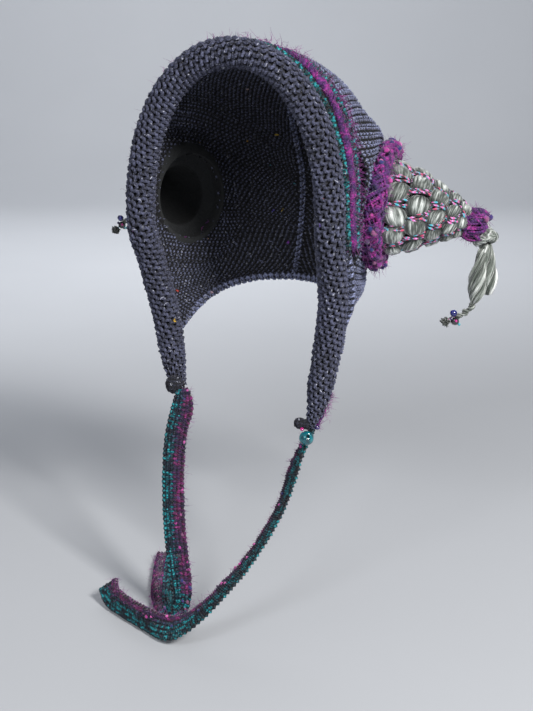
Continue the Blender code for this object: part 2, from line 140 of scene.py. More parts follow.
class Finish:
    """A material under construction and its slot, with one way to add any node to its tree."""

    def __init__(self, name, slot=None):
        self.slot = slot
        self.material = bpy.data.materials.new(name)
        self.material.use_nodes = True
        self.tree = self.material.node_tree
        self.surface = self.tree.nodes["Principled BSDF"]

    def node(self, kind, sockets=None, settings=None, output=0):
        """Adds a node of a kind: its settings first, then its sockets' values or links."""
        made = self.tree.nodes.new(kind)
        for key, value in (settings or {}).items():
            if key == "stops":
                ramp = made.color_ramp.elements
                for place, colour in value[:-2]:
                    ramp.new(place)
                for stop, (place, colour) in zip(ramp, value):
                    stop.position = place
                    stop.color = (*colour, 1)
            else:
                setattr(made, key, value)
        for key, value in (sockets or {}).items():
            self.feed(made.inputs[key], value)
        return Value(self.tree, made.outputs[output])

    def feed(self, entry, value):
        if isinstance(value, Value):
            self.tree.links.new(value.socket, entry)
        elif entry.type == "RGBA" and len(value) == 3:
            entry.default_value = (*value, 1)
        else:
            entry.default_value = value

    def place(self):
        """Object coordinates."""
        return self.node("ShaderNodeTexCoord", output=3)

    def noise(self, where, scale, detail=2):
        return self.node("ShaderNodeTexNoise", {"Vector": where, "Scale": scale, "Detail": detail})

    def ramp(self, factor, stops):
        return self.node("ShaderNodeValToRGB", {"Fac": factor}, {"stops": stops})

    def spread(self, value, low, high):
        """A ramp from 0 at low to 1 at high, level outside."""
        return self.node("ShaderNodeMapRange", {"Value": value, "From Min": low, "From Max": high})

    def mix(self, factor, low, high):
        """A colour between two others."""
        return self.node("ShaderNodeMix", {0: factor, 6: low, 7: high}, {"data_type": "RGBA"}, 2)

    def own(self, name):
        """A number the piece holds by point: its tint, or how high it stands in the fabric, from which the
        finishes paint shade and highlight.
        """
        return self.node("ShaderNodeAttribute", None, {"attribute_name": name}, 2)

    def yarn_place(self):
        """Millimetres along the yarn and turns round it, from the piece's UV map."""
        where = self.node("ShaderNodeUVMap", None, {"uv_map": "yarn"})
        return [self.node("ShaderNodeSeparateXYZ", {"Vector": where}, output=axis) for axis in (0, 1)]

    def plied(self):
        """Object coordinates, the yarn's place and a wave that follows the twist of its plies."""
        where = self.place()
        along, turns = self.yarn_place()
        return where, along, turns, (along * 3.2 + turns * 12.566).sine() * 0.5 + 0.5

    def bump(self, height, strength, distance):
        return self.node("ShaderNodeBump", {"Height": height, "Strength": strength, "Distance": distance})

    def set(self, **values):
        for key, value in values.items():
            self.feed(self.surface.inputs[key.replace("_", " ")], value)
        return self


def grid_quads(rows, columns, groups=1, around=False, order=(0, 1, 2, 3)):
    """Quads of grids of points by group, row and column: a point, the one in the next row, the
    one after that and the one after the point. With around the columns close to a ring."""
    here = np.arange(groups)[:, None, None] * rows * columns + np.arange(rows - 1)[:, None] * columns
    k = np.arange(columns if around else columns - 1)
    after = (k + 1) % columns
    quads = [here + k, here + columns + k, here + columns + after, here + after]
    return np.stack([quads[corner] for corner in order], -1)


FLOOR_DEPTH = 2.6
FLOOR_TURN = 1.1
FLOOR_HALF_WIDTH = 5


def floor_mesh():
    """A profile carried sideways: level floor, a quarter circle, then a straight back wall."""
    floor_z = cad_box[0][2] - 0.0006
    turn = np.linspace(0, math.pi / 2, 25)
    depth = np.r_[-3, FLOOR_DEPTH + FLOOR_TURN * np.sin(turn), FLOOR_DEPTH + FLOOR_TURN]
    height = np.r_[0, FLOOR_TURN * (1 - np.cos(turn)), 4]
    back = -np.array(away.xy.normalized())
    side = np.array([-back[1], back[0]])
    across = np.array([-FLOOR_HALF_WIDTH, FLOOR_HALF_WIDTH])
    flat = depth[:, None, None] * back + across[None, :, None] * side
    level = np.broadcast_to(height[:, None, None] + floor_z, (*flat.shape[:2], 1))
    faces = grid_quads(len(depth), 2).reshape(-1, 4)
    mesh = bpy.data.meshes.new("floor")
    mesh.from_pydata(np.concatenate([flat, level], -1).reshape(-1, 3).tolist(), [], faces.tolist())
    mesh.shade_smooth()
    return mesh


floor = bpy.data.objects.new("floor", floor_mesh())
bpy.context.scene.collection.objects.link(floor)
paper = Finish("pale_paper")
floor.data.materials.append(paper.set(
    Base_Color=paper.mix(paper.noise(paper.place(), 1.6, 3), (0.45, 0.464, 0.49), (0.515, 0.529, 0.555)),
    Roughness=0.95).material)


# Rolled face edge and ear flaps
# Charcoal bulky wool with a thread of glitter, knitted as a wide band that rolls up by itself
# with its purl side out. The courses run along the roll; below the ears it is the whole flap.

EAR_Z_MM = -115
ROLL_ARCH_MM = (82, 121.5, 2.1, -14, -16)      # half width, rise, power, y at top and ears
ROLL_RADIUS_MM = 11.3
ROLL_SIDE_MM = [                                     # x, y, z, radius
    (82, -15.4, -129, 11.3),
    (81.3, -12.4, -138, 11.3),
    (80.2, -7.8, -149, 11.3),
    (78, 1, -176, 11.3),
    (72.5, 6, -208, 11),
    (69.5, 6, -228, 10.6),
]
FLAP_LEFT_MM = [
    (67, 4, -245, 10),
    (63.5, 2, -266, 7),
    (60, 0, -279, 4.4),
]
FLAP_RIGHT_MM = [
    (64.5, 2, -243, 9.4),
    (59, -3, -253, 7.6),
    (50.5, -10, -258.5, 5.2),
]
ROLL_STITCH_MM = 5.7           # along the roll
ROLL_COURSE_MM = 4.4           # round the roll
ROLL_YARN_MM = 1.42            # radius of the wool
ROLL_LEAN = 0.5                # stitches by which a column drifts along the roll with each course
ROLL_CLIMB = -0.3              # courses by which the rows wind round the roll with each stitch
ROLL_INSET_MM = 1.9            # middle of the loops below the roll's surface
LOOP_STEPS = 8


def run_along(points, axis=0):
    """The length walked along an axis of a grid, from its first point to each."""
    steps = np.linalg.norm(np.diff(points, axis=axis), axis=-1)
    return np.concatenate([np.zeros_like(steps.take([0], axis)), np.cumsum(steps, axis=axis)], axis)


def length_of(path):
    return run_along(path[:, :3])[-1]


def read(where, knots, rows):
    """Rows of numbers at knots, read on the straight lines between them."""
    return np.stack([np.interp(where, knots, column) for column in rows.T], -1)


def curve_through(rows, count):
    """A Hermite curve through the rows, read at count even steps of its length."""
    rows = np.array(rows, float)
    knots = run_along(rows[:, :3])
    slopes = np.gradient(rows, knots, axis=0)
    where = np.linspace(0, knots[-1], 40 * len(rows))
    cell = np.clip(np.searchsorted(knots, where, side="right") - 1, 0, len(knots) - 2)
    span = (knots[cell + 1] - knots[cell])[:, None]
    t = (where[:, None] - knots[cell][:, None]) / span
    dense = ((2 * t**3 - 3 * t**2 + 1) * rows[cell] + (t**3 - 2 * t**2 + t) * span * slopes[cell]
             + (3 * t**2 - 2 * t**3) * rows[cell + 1] + (t**3 - t**2) * span * slopes[cell + 1])
    length = run_along(dense[:, :3])
    return read(np.linspace(0, length[-1], count), length, dense)


def arch(half_width, rise, power, y_top, y_ear, count):
    """Superellipse x = a cos^(2/n), z = c sin^(2/n) from the top of the head to the left ear."""
    turn = np.linspace(math.pi / 2, 0, count)
    up = np.sin(turn) ** (2 / power)
    out = np.cos(turn) ** (2 / power)
    return np.stack([half_width * out, y_ear + (y_top - y_ear) * up, EAR_Z_MM + rise * up], axis=1)


def both_sides(left, right):
    """Joins two runs that start at the same top point; the right one is mirrored."""
    flipped = np.array(right, float)[:0:-1].copy()
    flipped[:, 0] *= -1
    return np.vstack([flipped, left])


def unit(vectors):
    return vectors / np.maximum(np.linalg.norm(vectors, axis=-1, keepdims=True), 1e-9)


def cross_ways(heading, reference=(0, 0, 1)):
    """Two unit ways across a heading; the first is across the reference too."""
    side = unit(np.cross(heading, reference))
    return side, np.cross(heading, side)


def spun(turn, side, other):
    """The way from a middle at an angle, with side at 0 and other at a right angle."""
    return np.cos(turn)[..., None] * side + np.sin(turn)[..., None] * other


def flat(values, kind=np.float32):
    return np.ascontiguousarray(values, kind).ravel()


def mesh_piece(name, points_mm, quads, finish, nodes=(), uv=None, tint=None, high=None):
    """A mesh object from arrays of points and quads, with a UV map and tint and high by point."""
    mesh = bpy.data.meshes.new(name)
    points = flat(points_mm * MM)
    corners = flat(quads, np.int32)
    mesh.vertices.add(len(points) // 3)
    mesh.vertices.foreach_set("co", points)
    mesh.loops.add(len(corners))
    mesh.loops.foreach_set("vertex_index", corners)
    mesh.polygons.add(len(corners) // 4)
    mesh.polygons.foreach_set("loop_start", np.arange(0, len(corners), 4, dtype=np.int32))
    mesh.update(calc_edges=True)
    if uv is not None:
        mesh.uv_layers.new(name="yarn").uv.foreach_set("vector", flat(uv.reshape(-1, 2)[corners]))
    for key, values in (("tint", tint), ("high", high)):
        if values is not None:
            mesh.attributes.new(key, "FLOAT", "POINT").data.foreach_set("value", flat(values))
    mesh.shade_smooth()
    mesh.materials.append(finish.material)
    piece = bpy.data.objects.new(name, mesh)
    bpy.context.scene.collection.objects.link(piece)
    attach(piece, "root")
    if nodes:
        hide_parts(*nodes)
    return piece


def tubes(lines, normals, radius, sides, open_ends=False):
    """Rings carried along many lines at once.

    lines is (line, point, 3), normals is each point's outward way and radius a number or an
    array by line and point. u of the UV is millimetres along the line and v turns round it.
    With open_ends a line's first and last points only aim its ends and carry no ring.
    """
    heading = unit(np.gradient(lines, axis=1))
    across = unit(np.cross(heading, normals))
    outward = np.cross(across, heading)
    radius = np.broadcast_to(radius, lines.shape[:2])
    run = run_along(lines, 1)
    if open_ends:
        lines, across, outward, radius, run = [a[:, 1:-1] for a in (lines, across, outward, radius, run)]
    turn = np.arange(sides) * TURN / sides
    ring = spun(turn, across[:, :, None], outward[:, :, None])
    uv = np.stack(np.broadcast_arrays(run[:, :, None], turn / TURN), -1)
    points = lines[:, :, None] + radius[:, :, None, None] * ring
    return points, grid_quads(lines.shape[1], sides, len(lines), True), uv


class Skin:
    """A surface as a grid of points and outward normals, read between its nodes."""

    def __init__(self, points, normals):
        self.points = points
        self.normals = normals
        self.size = np.array(points.shape[:2]) - 1

    def at(self, u, v):
        """Bilinear point and normal at u and v, both from 0 to 1."""
        u = np.clip(u, 0, 1) * self.size[0]
        v = np.clip(v, 0, 1) * self.size[1]
        i = np.minimum(u.astype(int), self.size[0] - 1)
        j = np.minimum(v.astype(int), self.size[1] - 1)
        a = (u - i)[..., None]
        b = (v - j)[..., None]
        corners = [((1 - a) * (1 - b), i, j), (a * (1 - b), i + 1, j),
                   ((1 - a) * b, i, j + 1), (a * b, i + 1, j + 1)]
        point, normal = [sum(share * grid[m, n] for share, m, n in corners)
                         for grid in (self.points, self.normals)]
        return point, unit(normal)


def tube_skin(path, radii, around, reference):
    """A tube's skin: u runs along the path and v once round it, from the reference way."""
    side, other = cross_ways(unit(np.gradient(path, axis=0)), reference)
    normals = spun(np.linspace(0, TURN, around + 1), side[:, None], other[:, None])
    return Skin(path[:, None] + np.broadcast_to(radii, len(path))[:, None, None] * normals, normals)


def stitch_grid(stitches, courses):
    """Every pair of stitch number and course number, as two flat arrays."""
    return [a.ravel() for a in np.meshgrid(stitches, courses, indexing="ij")]


STITCH_FORMS = {               # waist, pull, waves in a loop and their sign, high of the low half (which sets its painted shade)
    "bumps": (0.11, 0, 1, 1, None),
    "garter": (0.17, 0, 2, 1, 1),
    "columns": (0.15, 0.06, 2, -1, 0.7),
}


def loops(skin, stitches, courses, chosen, form, depth, seed, lean=0, wrap=False, height=0.86, climb=0):
    """Loops of yarn on a skin, with u along the courses and v across them.

    A stitch is x = t / 2pi + waist sin 2t - pull sin t, y = height cos t, counted in stitches
    and courses, for t from 0 to 2pi. Off the skin it is depth times cos t for bumps, where
    only the head stands out, cos 2t for garter, where head and foot do, and -cos 2t for
    columns of V's. Every course starts lean stitches further on than the last. Every stitch is
    climb courses above the one before, and its head slopes by more than that.
    """
    t = np.arange(-1, LOOP_STEPS + 2) * (TURN / LOOP_STEPS)
    rng = np.random.default_rng(seed)
    i, j = chosen
    uneven = rng.normal(0, 1, (3, len(i), 1))
    y = j[:, None] + 0.5 + height * np.cos(t) * (1 + 0.05 * uneven[0])
    waist, pull, waves, sign, low = STITCH_FORMS[form]
    x = i[:, None] + t / TURN + waist * np.sin(2 * t) - pull * np.sin(t) + lean * y
    v = (y + climb * (x + 0.9 * np.sin(t))) / courses
    if wrap:
        v = v % 1
    points, normals = skin.at(x / stitches, v)
    wave = sign * np.cos(waves * t)
    lift = depth * wave * (1 + 0.15 * uneven[1]) + 0.12 * uneven[2]
    # high runs from 0 low in the fabric to 1 on top; the finishes paint shade where it is low
    high = (wave + 1) / 2 if low is None else np.where(wave > 0, wave, -low * wave)
    return points + normals * lift[..., None], normals, high


def drifting(count, scale, rng):
    """Values from 0 to 1 that change gently over about scale neighbours."""
    coarse = rng.random(int(count / scale) + 3)
    return np.interp(np.arange(count) / scale, np.arange(len(coarse)), coarse)


def yarn_piece(name, lines, normals, radius, sides, finish, nodes=(), seed=0, run=1, open_ends=False,
               high=1):
    """A piece of tubes, each line with its own tint that drifts over about run lines."""
    points, quads, uv = tubes(lines, normals, radius, sides, open_ends)
    rng = np.random.default_rng(seed)
    tint = drifting(len(lines), run, rng) * 0.6 + rng.random(len(lines)) * 0.4
    high = np.broadcast_to(high, lines.shape[:2])
    high = high[:, 1:-1] if open_ends else high
    return mesh_piece(name, points, quads, finish, nodes, uv, np.repeat(tint, uv[0].size // 2),
                      np.repeat(high, sides))


def ground_piece(name, skin, inset_mm, finish, nodes=(), flip=False, keep=True):
    """The skin set in a little, as the dark ground that closes the gaps between the loops and paints their
    shade.
    """
    quads = grid_quads(*skin.points.shape[:2])[0]
    quads = quads[np.broadcast_to(keep, quads.shape[:2])]
    return mesh_piece(name, skin.points - skin.normals * inset_mm, quads[:, ::-1] if flip else quads,
                      finish, nodes)


def wool(name, dark, light, glint, speck):
    """Plied wool: two tones, sunk towards black by painted shade where the yarn lies low in the
    fabric's hollows, the ply's twist, dashes of glitter thread and rare coloured specks."""
    made = Finish(name, "slate_knit")
    where, along_yarn, round_yarn, twist = made.plied()
    mottle = made.spread(made.noise(where, 520, 3), 0.3, 0.7)
    tone = made.spread(made.own("tint") * 0.4 + mottle * 0.35 + twist * 0.25, 0.2, 0.8)
    colour = made.mix(tone, dark, light)
    thread = (along_yarn * 0.9 - round_yarn * 6.283 + made.own("tint") * 40).sine() > 0.93
    shine = thread * (made.noise(where, 240, 1) > 0.5 + glint)
    # painted shade: loops low in the fabric's hollows darken towards a tenth of the dark tone
    colour = made.mix(made.spread(made.own("high"), 0.35, 0.95), tuple(0.1 * c for c in dark), colour)
    colour = made.mix(shine, colour, (0.34, 0.35, 0.42))
    dots = made.node("ShaderNodeTexVoronoi", {"Vector": where, "Scale": 420}, output=1)
    red, blue = [made.node("ShaderNodeSeparateColor", {"Color": dots}, output=part) for part in (0, 2)]
    hue = made.ramp(blue, [(0, (0.45, 0.02, 0.03)), (0.35, (0.5, 0.36, 0.03)), (0.6, (0.08, 0.05, 0.5)),
                           (0.8, (0.35, 0.03, 0.25)), (1, (0.02, 0.25, 0.3))])
    colour = made.mix(red > 1 - speck, colour, hue)
    return made.set(Base_Color=colour, Roughness=0.85 - shine * 0.5,
                    Normal=made.bump(twist * 0.6 + mottle * 0.8, 0.6, 0.0005),
                    Sheen_Weight=0.2, Sheen_Roughness=0.45, Sheen_Tint=(0.5, 0.5, 0.62))


def ground(name, slot, colour):
    """Dull ground with a grain, near black: painted shade in the gaps between loops and between puffs."""
    made = Finish(name, slot)
    grain = made.noise(made.place(), 500)
    return made.set(Base_Color=made.mix(grain, colour, tuple(2.2 * c for c in colour)), Roughness=1,
                    Normal=made.bump(grain, 0.8, 0.001))


# the roll's wool is the crown's wool in a copy about three times darker: painted shade on the rolled edge
shaded_roll_wool = wool("shaded_roll_wool", (0.008, 0.009, 0.017), (0.1, 0.108, 0.184), 0.1, 0.001)
# near-black ground under the loops: painted shade in their gaps
slate_shade_ground = ground("slate_shade_ground", "slate_knit", (0.002, 0.002, 0.003))

roll_top = np.c_[arch(*ROLL_ARCH_MM, 9), np.full(9, ROLL_RADIUS_MM)]
roll_path = curve_through(both_sides(np.vstack([roll_top, ROLL_SIDE_MM, FLAP_LEFT_MM]),
                                     np.vstack([roll_top, ROLL_SIDE_MM, FLAP_RIGHT_MM])), 520)
roll_reach = np.maximum(roll_path[:, 3] - ROLL_INSET_MM, 1.2)
roll_skin = tube_skin(roll_path[:, :3], roll_reach, 48, (0, 1, 0))
roll_stitches = round(length_of(roll_path) / ROLL_STITCH_MM)
roll_courses = round(TURN * (ROLL_RADIUS_MM - ROLL_INSET_MM) / ROLL_COURSE_MM)
roll_half = roll_stitches // 2
for hand, first, last in (("right", 0, roll_half), ("left", roll_half, roll_stitches)):
    i, j = stitch_grid(range(first, last), range(roll_courses))
    i = i - np.round(ROLL_LEAN * j).astype(int)
    lines, normals, high = loops(roll_skin, roll_stitches, roll_courses, (i, j), "bumps", 1.4, 11,
                                 ROLL_LEAN, True, 0.6, ROLL_CLIMB)
    girth = np.interp((i + ROLL_LEAN * j) / roll_stitches, np.linspace(0, 1, len(roll_path)), roll_reach)
    thick = ROLL_YARN_MM * np.clip(1.1 * girth / (ROLL_RADIUS_MM - ROLL_INSET_MM), 0.4, 1)
    yarn_piece("face_roll_" + hand, lines, normals, thick[:, None] * (0.65 + 0.4 * high), 5, shaded_roll_wool,
               ["face_roll"], 21, 6, True, high)
roll_core = Skin(roll_skin.points[::2, ::2], roll_skin.normals[::2, ::2])
ground_piece("face_roll_core", roll_core, 0.9, slate_shade_ground, ["face_roll"], flip=True)


# Crown
# The same wool in a copy of its colours about three times lighter than the roll's, whose darker
# copy is painted shade, knitted from the face edge straight back in columns of V's. A bound seam
# closes it from the top to the nape, and a bound hem ends it.

CROWN_CENTRE = (0, 20, -115)
CROWN_HALF_WIDTH = 103
CROWN_HALF_DEPTH = 96
CROWN_RISE = 126.5
CROWN_DROP = 112
CROWN_PLAN_POWER = 3
CROWN_POWER = 2.6
CROWN_BACK_SLOPE = 0.3
CROWN_WALL_MM = 3.6
EDGE_ARCH = (96.7, 126.7, 2.5, 13.3, 9.8)
EDGE_SIDE = [
    (97, 12.2, -134),
    (92, 5.5, -149),
    (89.3, 11.8, -178),
    (84, 18.5, -205),
    (78, 20, -224),
]
HEM = [
    (78, 20, -224),
    (72, 45, -205),
    (56, 73, -190),
    (28, 95, -183),
    (0, 102, -181),
]
SEAM_START_Y = 60
SEAM_START_RISE = 105          # above the crown's centre
SEAM_DENT = 4
SEAT_INNER = 54
SEAT_OUTER = 74
HORN_BASE = (84.2, 60, -111.8)
HORN_TURN = {                  # azimuth and rise in degrees at the base and at the tip
    "left": (17.7, -2.5, 17.7, -17.5),
    "right": (17.7, -2.5, 58, 46),
}
AXIS_FROM = -7
AXIS_STEP = 0.5
BEND_FROM = 12
TURN_END = 93.3
KNOT_AT = {"left": 93.3, "right": 106}
CROWN_STITCH_MM = 5.8          # between the columns
CROWN_COURSE_MM = 4.2          # along a column
CROWN_YARN_MM = 1.2
CROWN_GRID = (56, 72)          # cells of the dense surface, back and down
CROWN_LEAN = 0.18              # stitches by which a column sinks with each course on its way back
CROWN_SPARE = 12               # columns that start further back, where the others have left the top
HOLE_MM = 38                   # no stitches nearer than this to a horn's axis
BOUND_EDGES = {                # radius of the tube, courses round it, stitch, radius of the yarn
    "face": (2.6, 4, 5.4, 1.3),
    "seam": (1.6, 3, 5, 1),
    "hem": (2, 3, 5.2, 1.2),
    "stripe": (2.1, 3, 5.6, 1.35),
}
FACE_EDGE_OFF = ((-206, -180), (8.5, 14))      # heights; how far it runs from the roll's middle there


def crown_radius(direction):
    """Distance from the crown's centre to its outer surface along unit directions."""
    x, y, z = np.moveaxis(direction, -1, 0)
    high = z + CROWN_BACK_SLOPE * np.maximum(y, 0) * np.clip(2 * z, 0, 1)
    vertical = np.where(z > 0, high / CROWN_RISE, z / CROWN_DROP)
    plan = (np.abs(x / CROWN_HALF_WIDTH) ** CROWN_PLAN_POWER
            + np.abs(y / CROWN_HALF_DEPTH) ** CROWN_PLAN_POWER)
    plan = plan ** (CROWN_POWER / CROWN_PLAN_POWER)
    return (plan + np.abs(vertical) ** CROWN_POWER) ** (-1 / CROWN_POWER)


def split_radius(points):
    """Unit directions from the crown's centre and the distance beyond its plain form."""
    arms = points - np.array(CROWN_CENTRE)
    reach = np.linalg.norm(arms, axis=-1)
    directions = arms / reach[..., None]
    return directions, reach - crown_radius(directions)


def median_point(angle, dent):
    """A point of the crown on the middle plane; the angle turns from up to the back."""
    direction = np.array([0, math.sin(angle), math.cos(angle)])
    return np.array(CROWN_CENTRE) + (crown_radius(direction) - dent) * direction


def coons(top, hem, front, seam):
    """Fills a four sided patch from its borders; rows run down, columns run back."""
    down = np.linspace(0, 1, len(front))[:, None, None]
    back = np.linspace(0, 1, len(top))[None, :, None]
    ruled = (1 - down) * top + down * hem + (1 - back) * front[:, None] + back * seam[:, None]
    corners = ((1 - down) * (1 - back) * front[0] + (1 - down) * back * seam[0]
               + down * (1 - back) * front[-1] + down * back * seam[-1])
    return ruled - corners


def horn_axis(side):
    """Distances, points and directions along a horn's bent axis."""
    az0, rise0, az1, rise1 = [math.radians(v) for v in HORN_TURN[side]]
    hand = 1 if side == "left" else -1
    stations = np.arange(AXIS_FROM, KNOT_AT[side] + AXIS_STEP, AXIS_STEP)
    share = np.clip((stations - BEND_FROM) / (TURN_END - BEND_FROM), 0, 1)
    azimuth = az0 + (az1 - az0) * share
    rise = rise0 + (rise1 - rise0) * share
    heading = np.stack([hand * np.cos(azimuth) * np.cos(rise), np.sin(azimuth) * np.cos(rise),
                        np.sin(rise)], axis=1)
    run = np.vstack([np.zeros(3), np.cumsum(heading[:-1] * AXIS_STEP, axis=0)])
    start = np.array([np.interp(0, stations, column) for column in run.T])
    return stations, run - start + np.array(HORN_BASE) * (hand, 1, 1), heading


def along(axis, distance):
    """Points and headings of a horn's axis at distances from its base."""
    stations, points, headings = axis
    return read(distance, stations, points), unit(read(distance, stations, headings))


def round_horn(points):
    """Heights over the plane of the left horn's base, arms off its axis, and its heading."""
    base, heading = along(horn_axis("left"), 0)
    height = (points - base) @ heading
    return height, points - base - height[..., None] * heading, heading


def smooth(share):
    share = np.clip(share, 0, 1)
    return share * share * (3 - 2 * share)


def seat_for_horn(points):
    """Draws the crown onto a plane round the base of the left horn."""
    height, arms, heading = round_horn(points)
    share = smooth((SEAT_OUTER - np.linalg.norm(arms, axis=-1)) / (SEAT_OUTER - SEAT_INNER))
    return points - (height * share)[..., None] * heading


RISE_ROUND_HORN = {            # distance off the axis and way out along it, above, below and in front
    2: ([40, 50, 56, 63, 69, 77, 88, 98], [2, 4.6, 4.4, 1, -2.4, -3.2, -1.6, 0]),
    -2: ([40, 50, 54, 64, 80, 96, 112], [0, -2, -4, -4, -3.4, -3, -1.5]),
    -1: ([40, 46, 54, 62], [-3.8, -3.5, -0.8, 0]),
}


def drawn_by_horn(points, ways=(2, -2, -1)):
    """Lets the crown rise to the top of a horn's ring and sink in front of it and below it."""
    _, arms, heading = round_horn(points)
    radius = np.linalg.norm(arms, axis=-1)
    rise = 0
    for way in ways:
        share = smooth(arms[..., abs(way)] * np.sign(way) / np.maximum(radius, 1))
        rise = rise + share * np.interp(radius, *RISE_ROUND_HORN[way])
    return points + rise[..., None] * heading


def laid_on_crown(points, gap):
    """Lifts points that would sink into the crown round the left horn to a gap off it."""
    height, _, heading = round_horn(points)
    seat = drawn_by_horn(points - height[..., None] * heading)
    return points + np.maximum(gap - (points - seat) @ heading, 0)[..., None] * heading


def crown_half(rows, columns):
    """Points of the crown's left half, from the face edge to the back seam."""
    front = curve_through(np.vstack([arch(*EDGE_ARCH, 9), EDGE_SIDE]), columns + 1)
    hem = curve_through(HEM, rows + 1)
    first = math.atan2(front[0][1] - CROWN_CENTRE[1], front[0][2] - CROWN_CENTRE[2])
    turn_in = math.atan2(SEAM_START_Y - CROWN_CENTRE[1], SEAM_START_RISE)
    fold = np.array([median_point(a, 0) for a in np.linspace(first, turn_in, rows + 1)])
    fold[0] = front[0]
    last = math.atan2(HEM[-1][1] - CROWN_CENTRE[1], HEM[-1][2] - CROWN_CENTRE[2])
    path = [median_point(turn_in + (last - turn_in) * s, SEAM_DENT * min(1, 4 * s))
            for s in np.linspace(0, 1, 24)[:-1]]
    seam = curve_through(np.vstack([path, HEM[-1]]), columns + 1)
    directions, extras = zip(*[split_radius(side) for side in (fold, hem, front, seam)])
    direction = unit(coons(*directions))
    extra = coons(*[extra[:, None] for extra in extras])[..., 0]
    down = np.linspace(0, 1, columns + 1)[:, None]
    back = np.linspace(0, 1, rows + 1)[None, :]
    inside = np.sqrt(16 * down * (1 - down) * back * (1 - back))
    reach = crown_radius(direction) + extra * (1 - inside)
    return drawn_by_horn(seat_for_horn(np.array(CROWN_CENTRE) + direction * reach[..., None]))


def grid_skin(points):
    """A skin from a grid whose outward way is (along the first way) x (along the second)."""
    return Skin(points, unit(np.cross(np.gradient(points, axis=0), np.gradient(points, axis=1))))


def off_horn(points):
    """Distance from the left horn's axis at its base."""
    return np.linalg.norm(round_horn(points)[1], axis=-1)


def purled(name, skin, stitches, courses, yarn_mm, finish, nodes, seed, run, lean=0, shade_tones=(0, 1)):
    """Purl bumps all over a skin, their high (which sets painted shade) from a low value to a high
    one; where they lean they wind on.
    """
    lines, normals, high = loops(skin, stitches, courses, stitch_grid(range(stitches), range(courses)),
                                 "bumps", 0.5, seed, lean, lean > 0)
    yarn_piece(name, lines, normals, yarn_mm, 4, finish, nodes, seed, run, True, shade_tones[0] + shade_tones[1] * high)


def bound_edge(name, path, kind, finish, nodes, seed):
    """Purl bumps round a thin tube that follows an edge."""
    radius, courses, stitch, yarn = BOUND_EDGES[kind]
    skin = tube_skin(path, radius, 16, (0.13, 0.97, 0.2))
    purled(name, skin, round(length_of(path) / stitch), courses, yarn, finish, nodes, seed, 2, 0.3)


def cloth_wall(piece, thickness_mm):
    wall = piece.modifiers.new("cloth", "SOLIDIFY")
    wall.thickness = thickness_mm * MM
    wall.offset = 0


HANDS = (("left", 1), ("right", -1))
# the same wool in a lighter copy than the roll's, whose darkness is painted shade
crown_wool = wool("crown_wool", (0.022, 0.024, 0.04), (0.37, 0.41, 0.67), 0.12, 0.002)

crown_outer = grid_skin(crown_half(*CROWN_GRID))
crown_outward = np.sign((crown_outer.normals * (crown_outer.points - CROWN_CENTRE)).sum(-1).mean())
crown_outer.normals *= crown_outward
crown_mid = crown_outer.points - crown_outer.normals * (CROWN_WALL_MM / 2)
back_run = run_along(crown_mid, 1)
far = back_run[:, -1].max()
even_run = np.linspace(0, far, 90)
crown_even = Skin(*[np.stack([read(even_run, run, row) for run, row in zip(back_run, grid)])
                    for grid in (crown_mid, crown_outer.normals)])
crown_columns = round(length_of(crown_mid[:, 0]) / CROWN_STITCH_MM)
i, j = stitch_grid(range(-CROWN_SPARE, crown_columns), range(int(far / CROWN_COURSE_MM)))
place = i + 0.5 + CROWN_LEAN * (j + 0.5)
column_end = np.interp(place / crown_columns, np.linspace(0, 1, CROWN_GRID[1] + 1), back_run[:, -1])
there = ((j + 1.2) * CROWN_COURSE_MM < column_end) & (place > 0.4) & (place < crown_columns - 0.4)
i, j, column_end = i[there], j[there], column_end[there]
lines, normals, high = loops(crown_even, crown_columns, far / CROWN_COURSE_MM, (i, j), "columns",
                             0.95, 31, CROWN_LEAN)
clear = off_horn(lines.mean(axis=1)) > HOLE_MM
thick = CROWN_YARN_MM * np.interp(j * CROWN_COURSE_MM / column_end, (0, 1), (1, 0.8))
cells_clear = off_horn(crown_mid[:-1, :-1]) > HOLE_MM
for hand, mirror in HANDS:
    flip = np.array([mirror, 1, 1])
    yarn_piece("crown_" + hand, lines[clear] * flip, normals[clear] * flip, thick[clear, None], 4,
               crown_wool, ["crown"], 33, 9, True, high)
    half = Skin(crown_mid * flip, crown_outer.normals * flip)
    cloth_wall(ground_piece("crown_ground_" + hand, half, 0, slate_shade_ground, ["crown"],
                            mirror * crown_outward < 0, cells_clear), 0.8)
hem_path = crown_mid[-1, ::4]
hem_path = curve_through(np.vstack([hem_path, hem_path[-2::-1] * (-1, 1, 1)]), 120)
seam_path = curve_through(np.vstack([crown_mid[0, ::4], crown_mid[4::4, -1]]), 160)
by_height = np.array(ROLL_SIDE_MM)[::-1]
gap_side = np.array(EDGE_SIDE)
gap_roll = read(gap_side[:, 2], by_height[:, 2], by_height[:, :2])
gap = np.interp(gap_side[:, 2], *FACE_EDGE_OFF)[:, None]
gap_side[:, :2] = gap_roll + unit(gap_side[:, :2] - gap_roll) * gap
for hand, mirror in HANDS:
    edge = curve_through(gap_side * (mirror, 1, 1), 60)
    bound_edge("crown_edge_" + hand, edge, "face", crown_wool, (), 37)
bound_edge("crown_seam", seam_path, "seam", crown_wool, ["crown"], 35)
bound_edge("crown_hem", hem_path, "hem", crown_wool, ["crown"], 36)


# Stripe behind the roll
# Two courses of teal yarn with black and rust in it, and between them one of thick and thin
# mohair in magenta and purple, whose long loose hairs stand off the hood.

STRIPES = {                    # half width, rise, power, y at the top and the ears; then its end
    "stripe_teal_front": ((89.9, 128.9, 2.15, -1.4, -3.6), (90.8, -2.4, -136)),
    "stripe_ribbon": ((92.2, 127, 2.4, 4, 0.7), (93, 2.4, -136)),
    "stripe_teal_back": ((93.8, 125.2, 2.5, 9.8, 6), (93.6, 7.8, -136)),
}
HEAD_MIDDLE = (0, 30, -115)


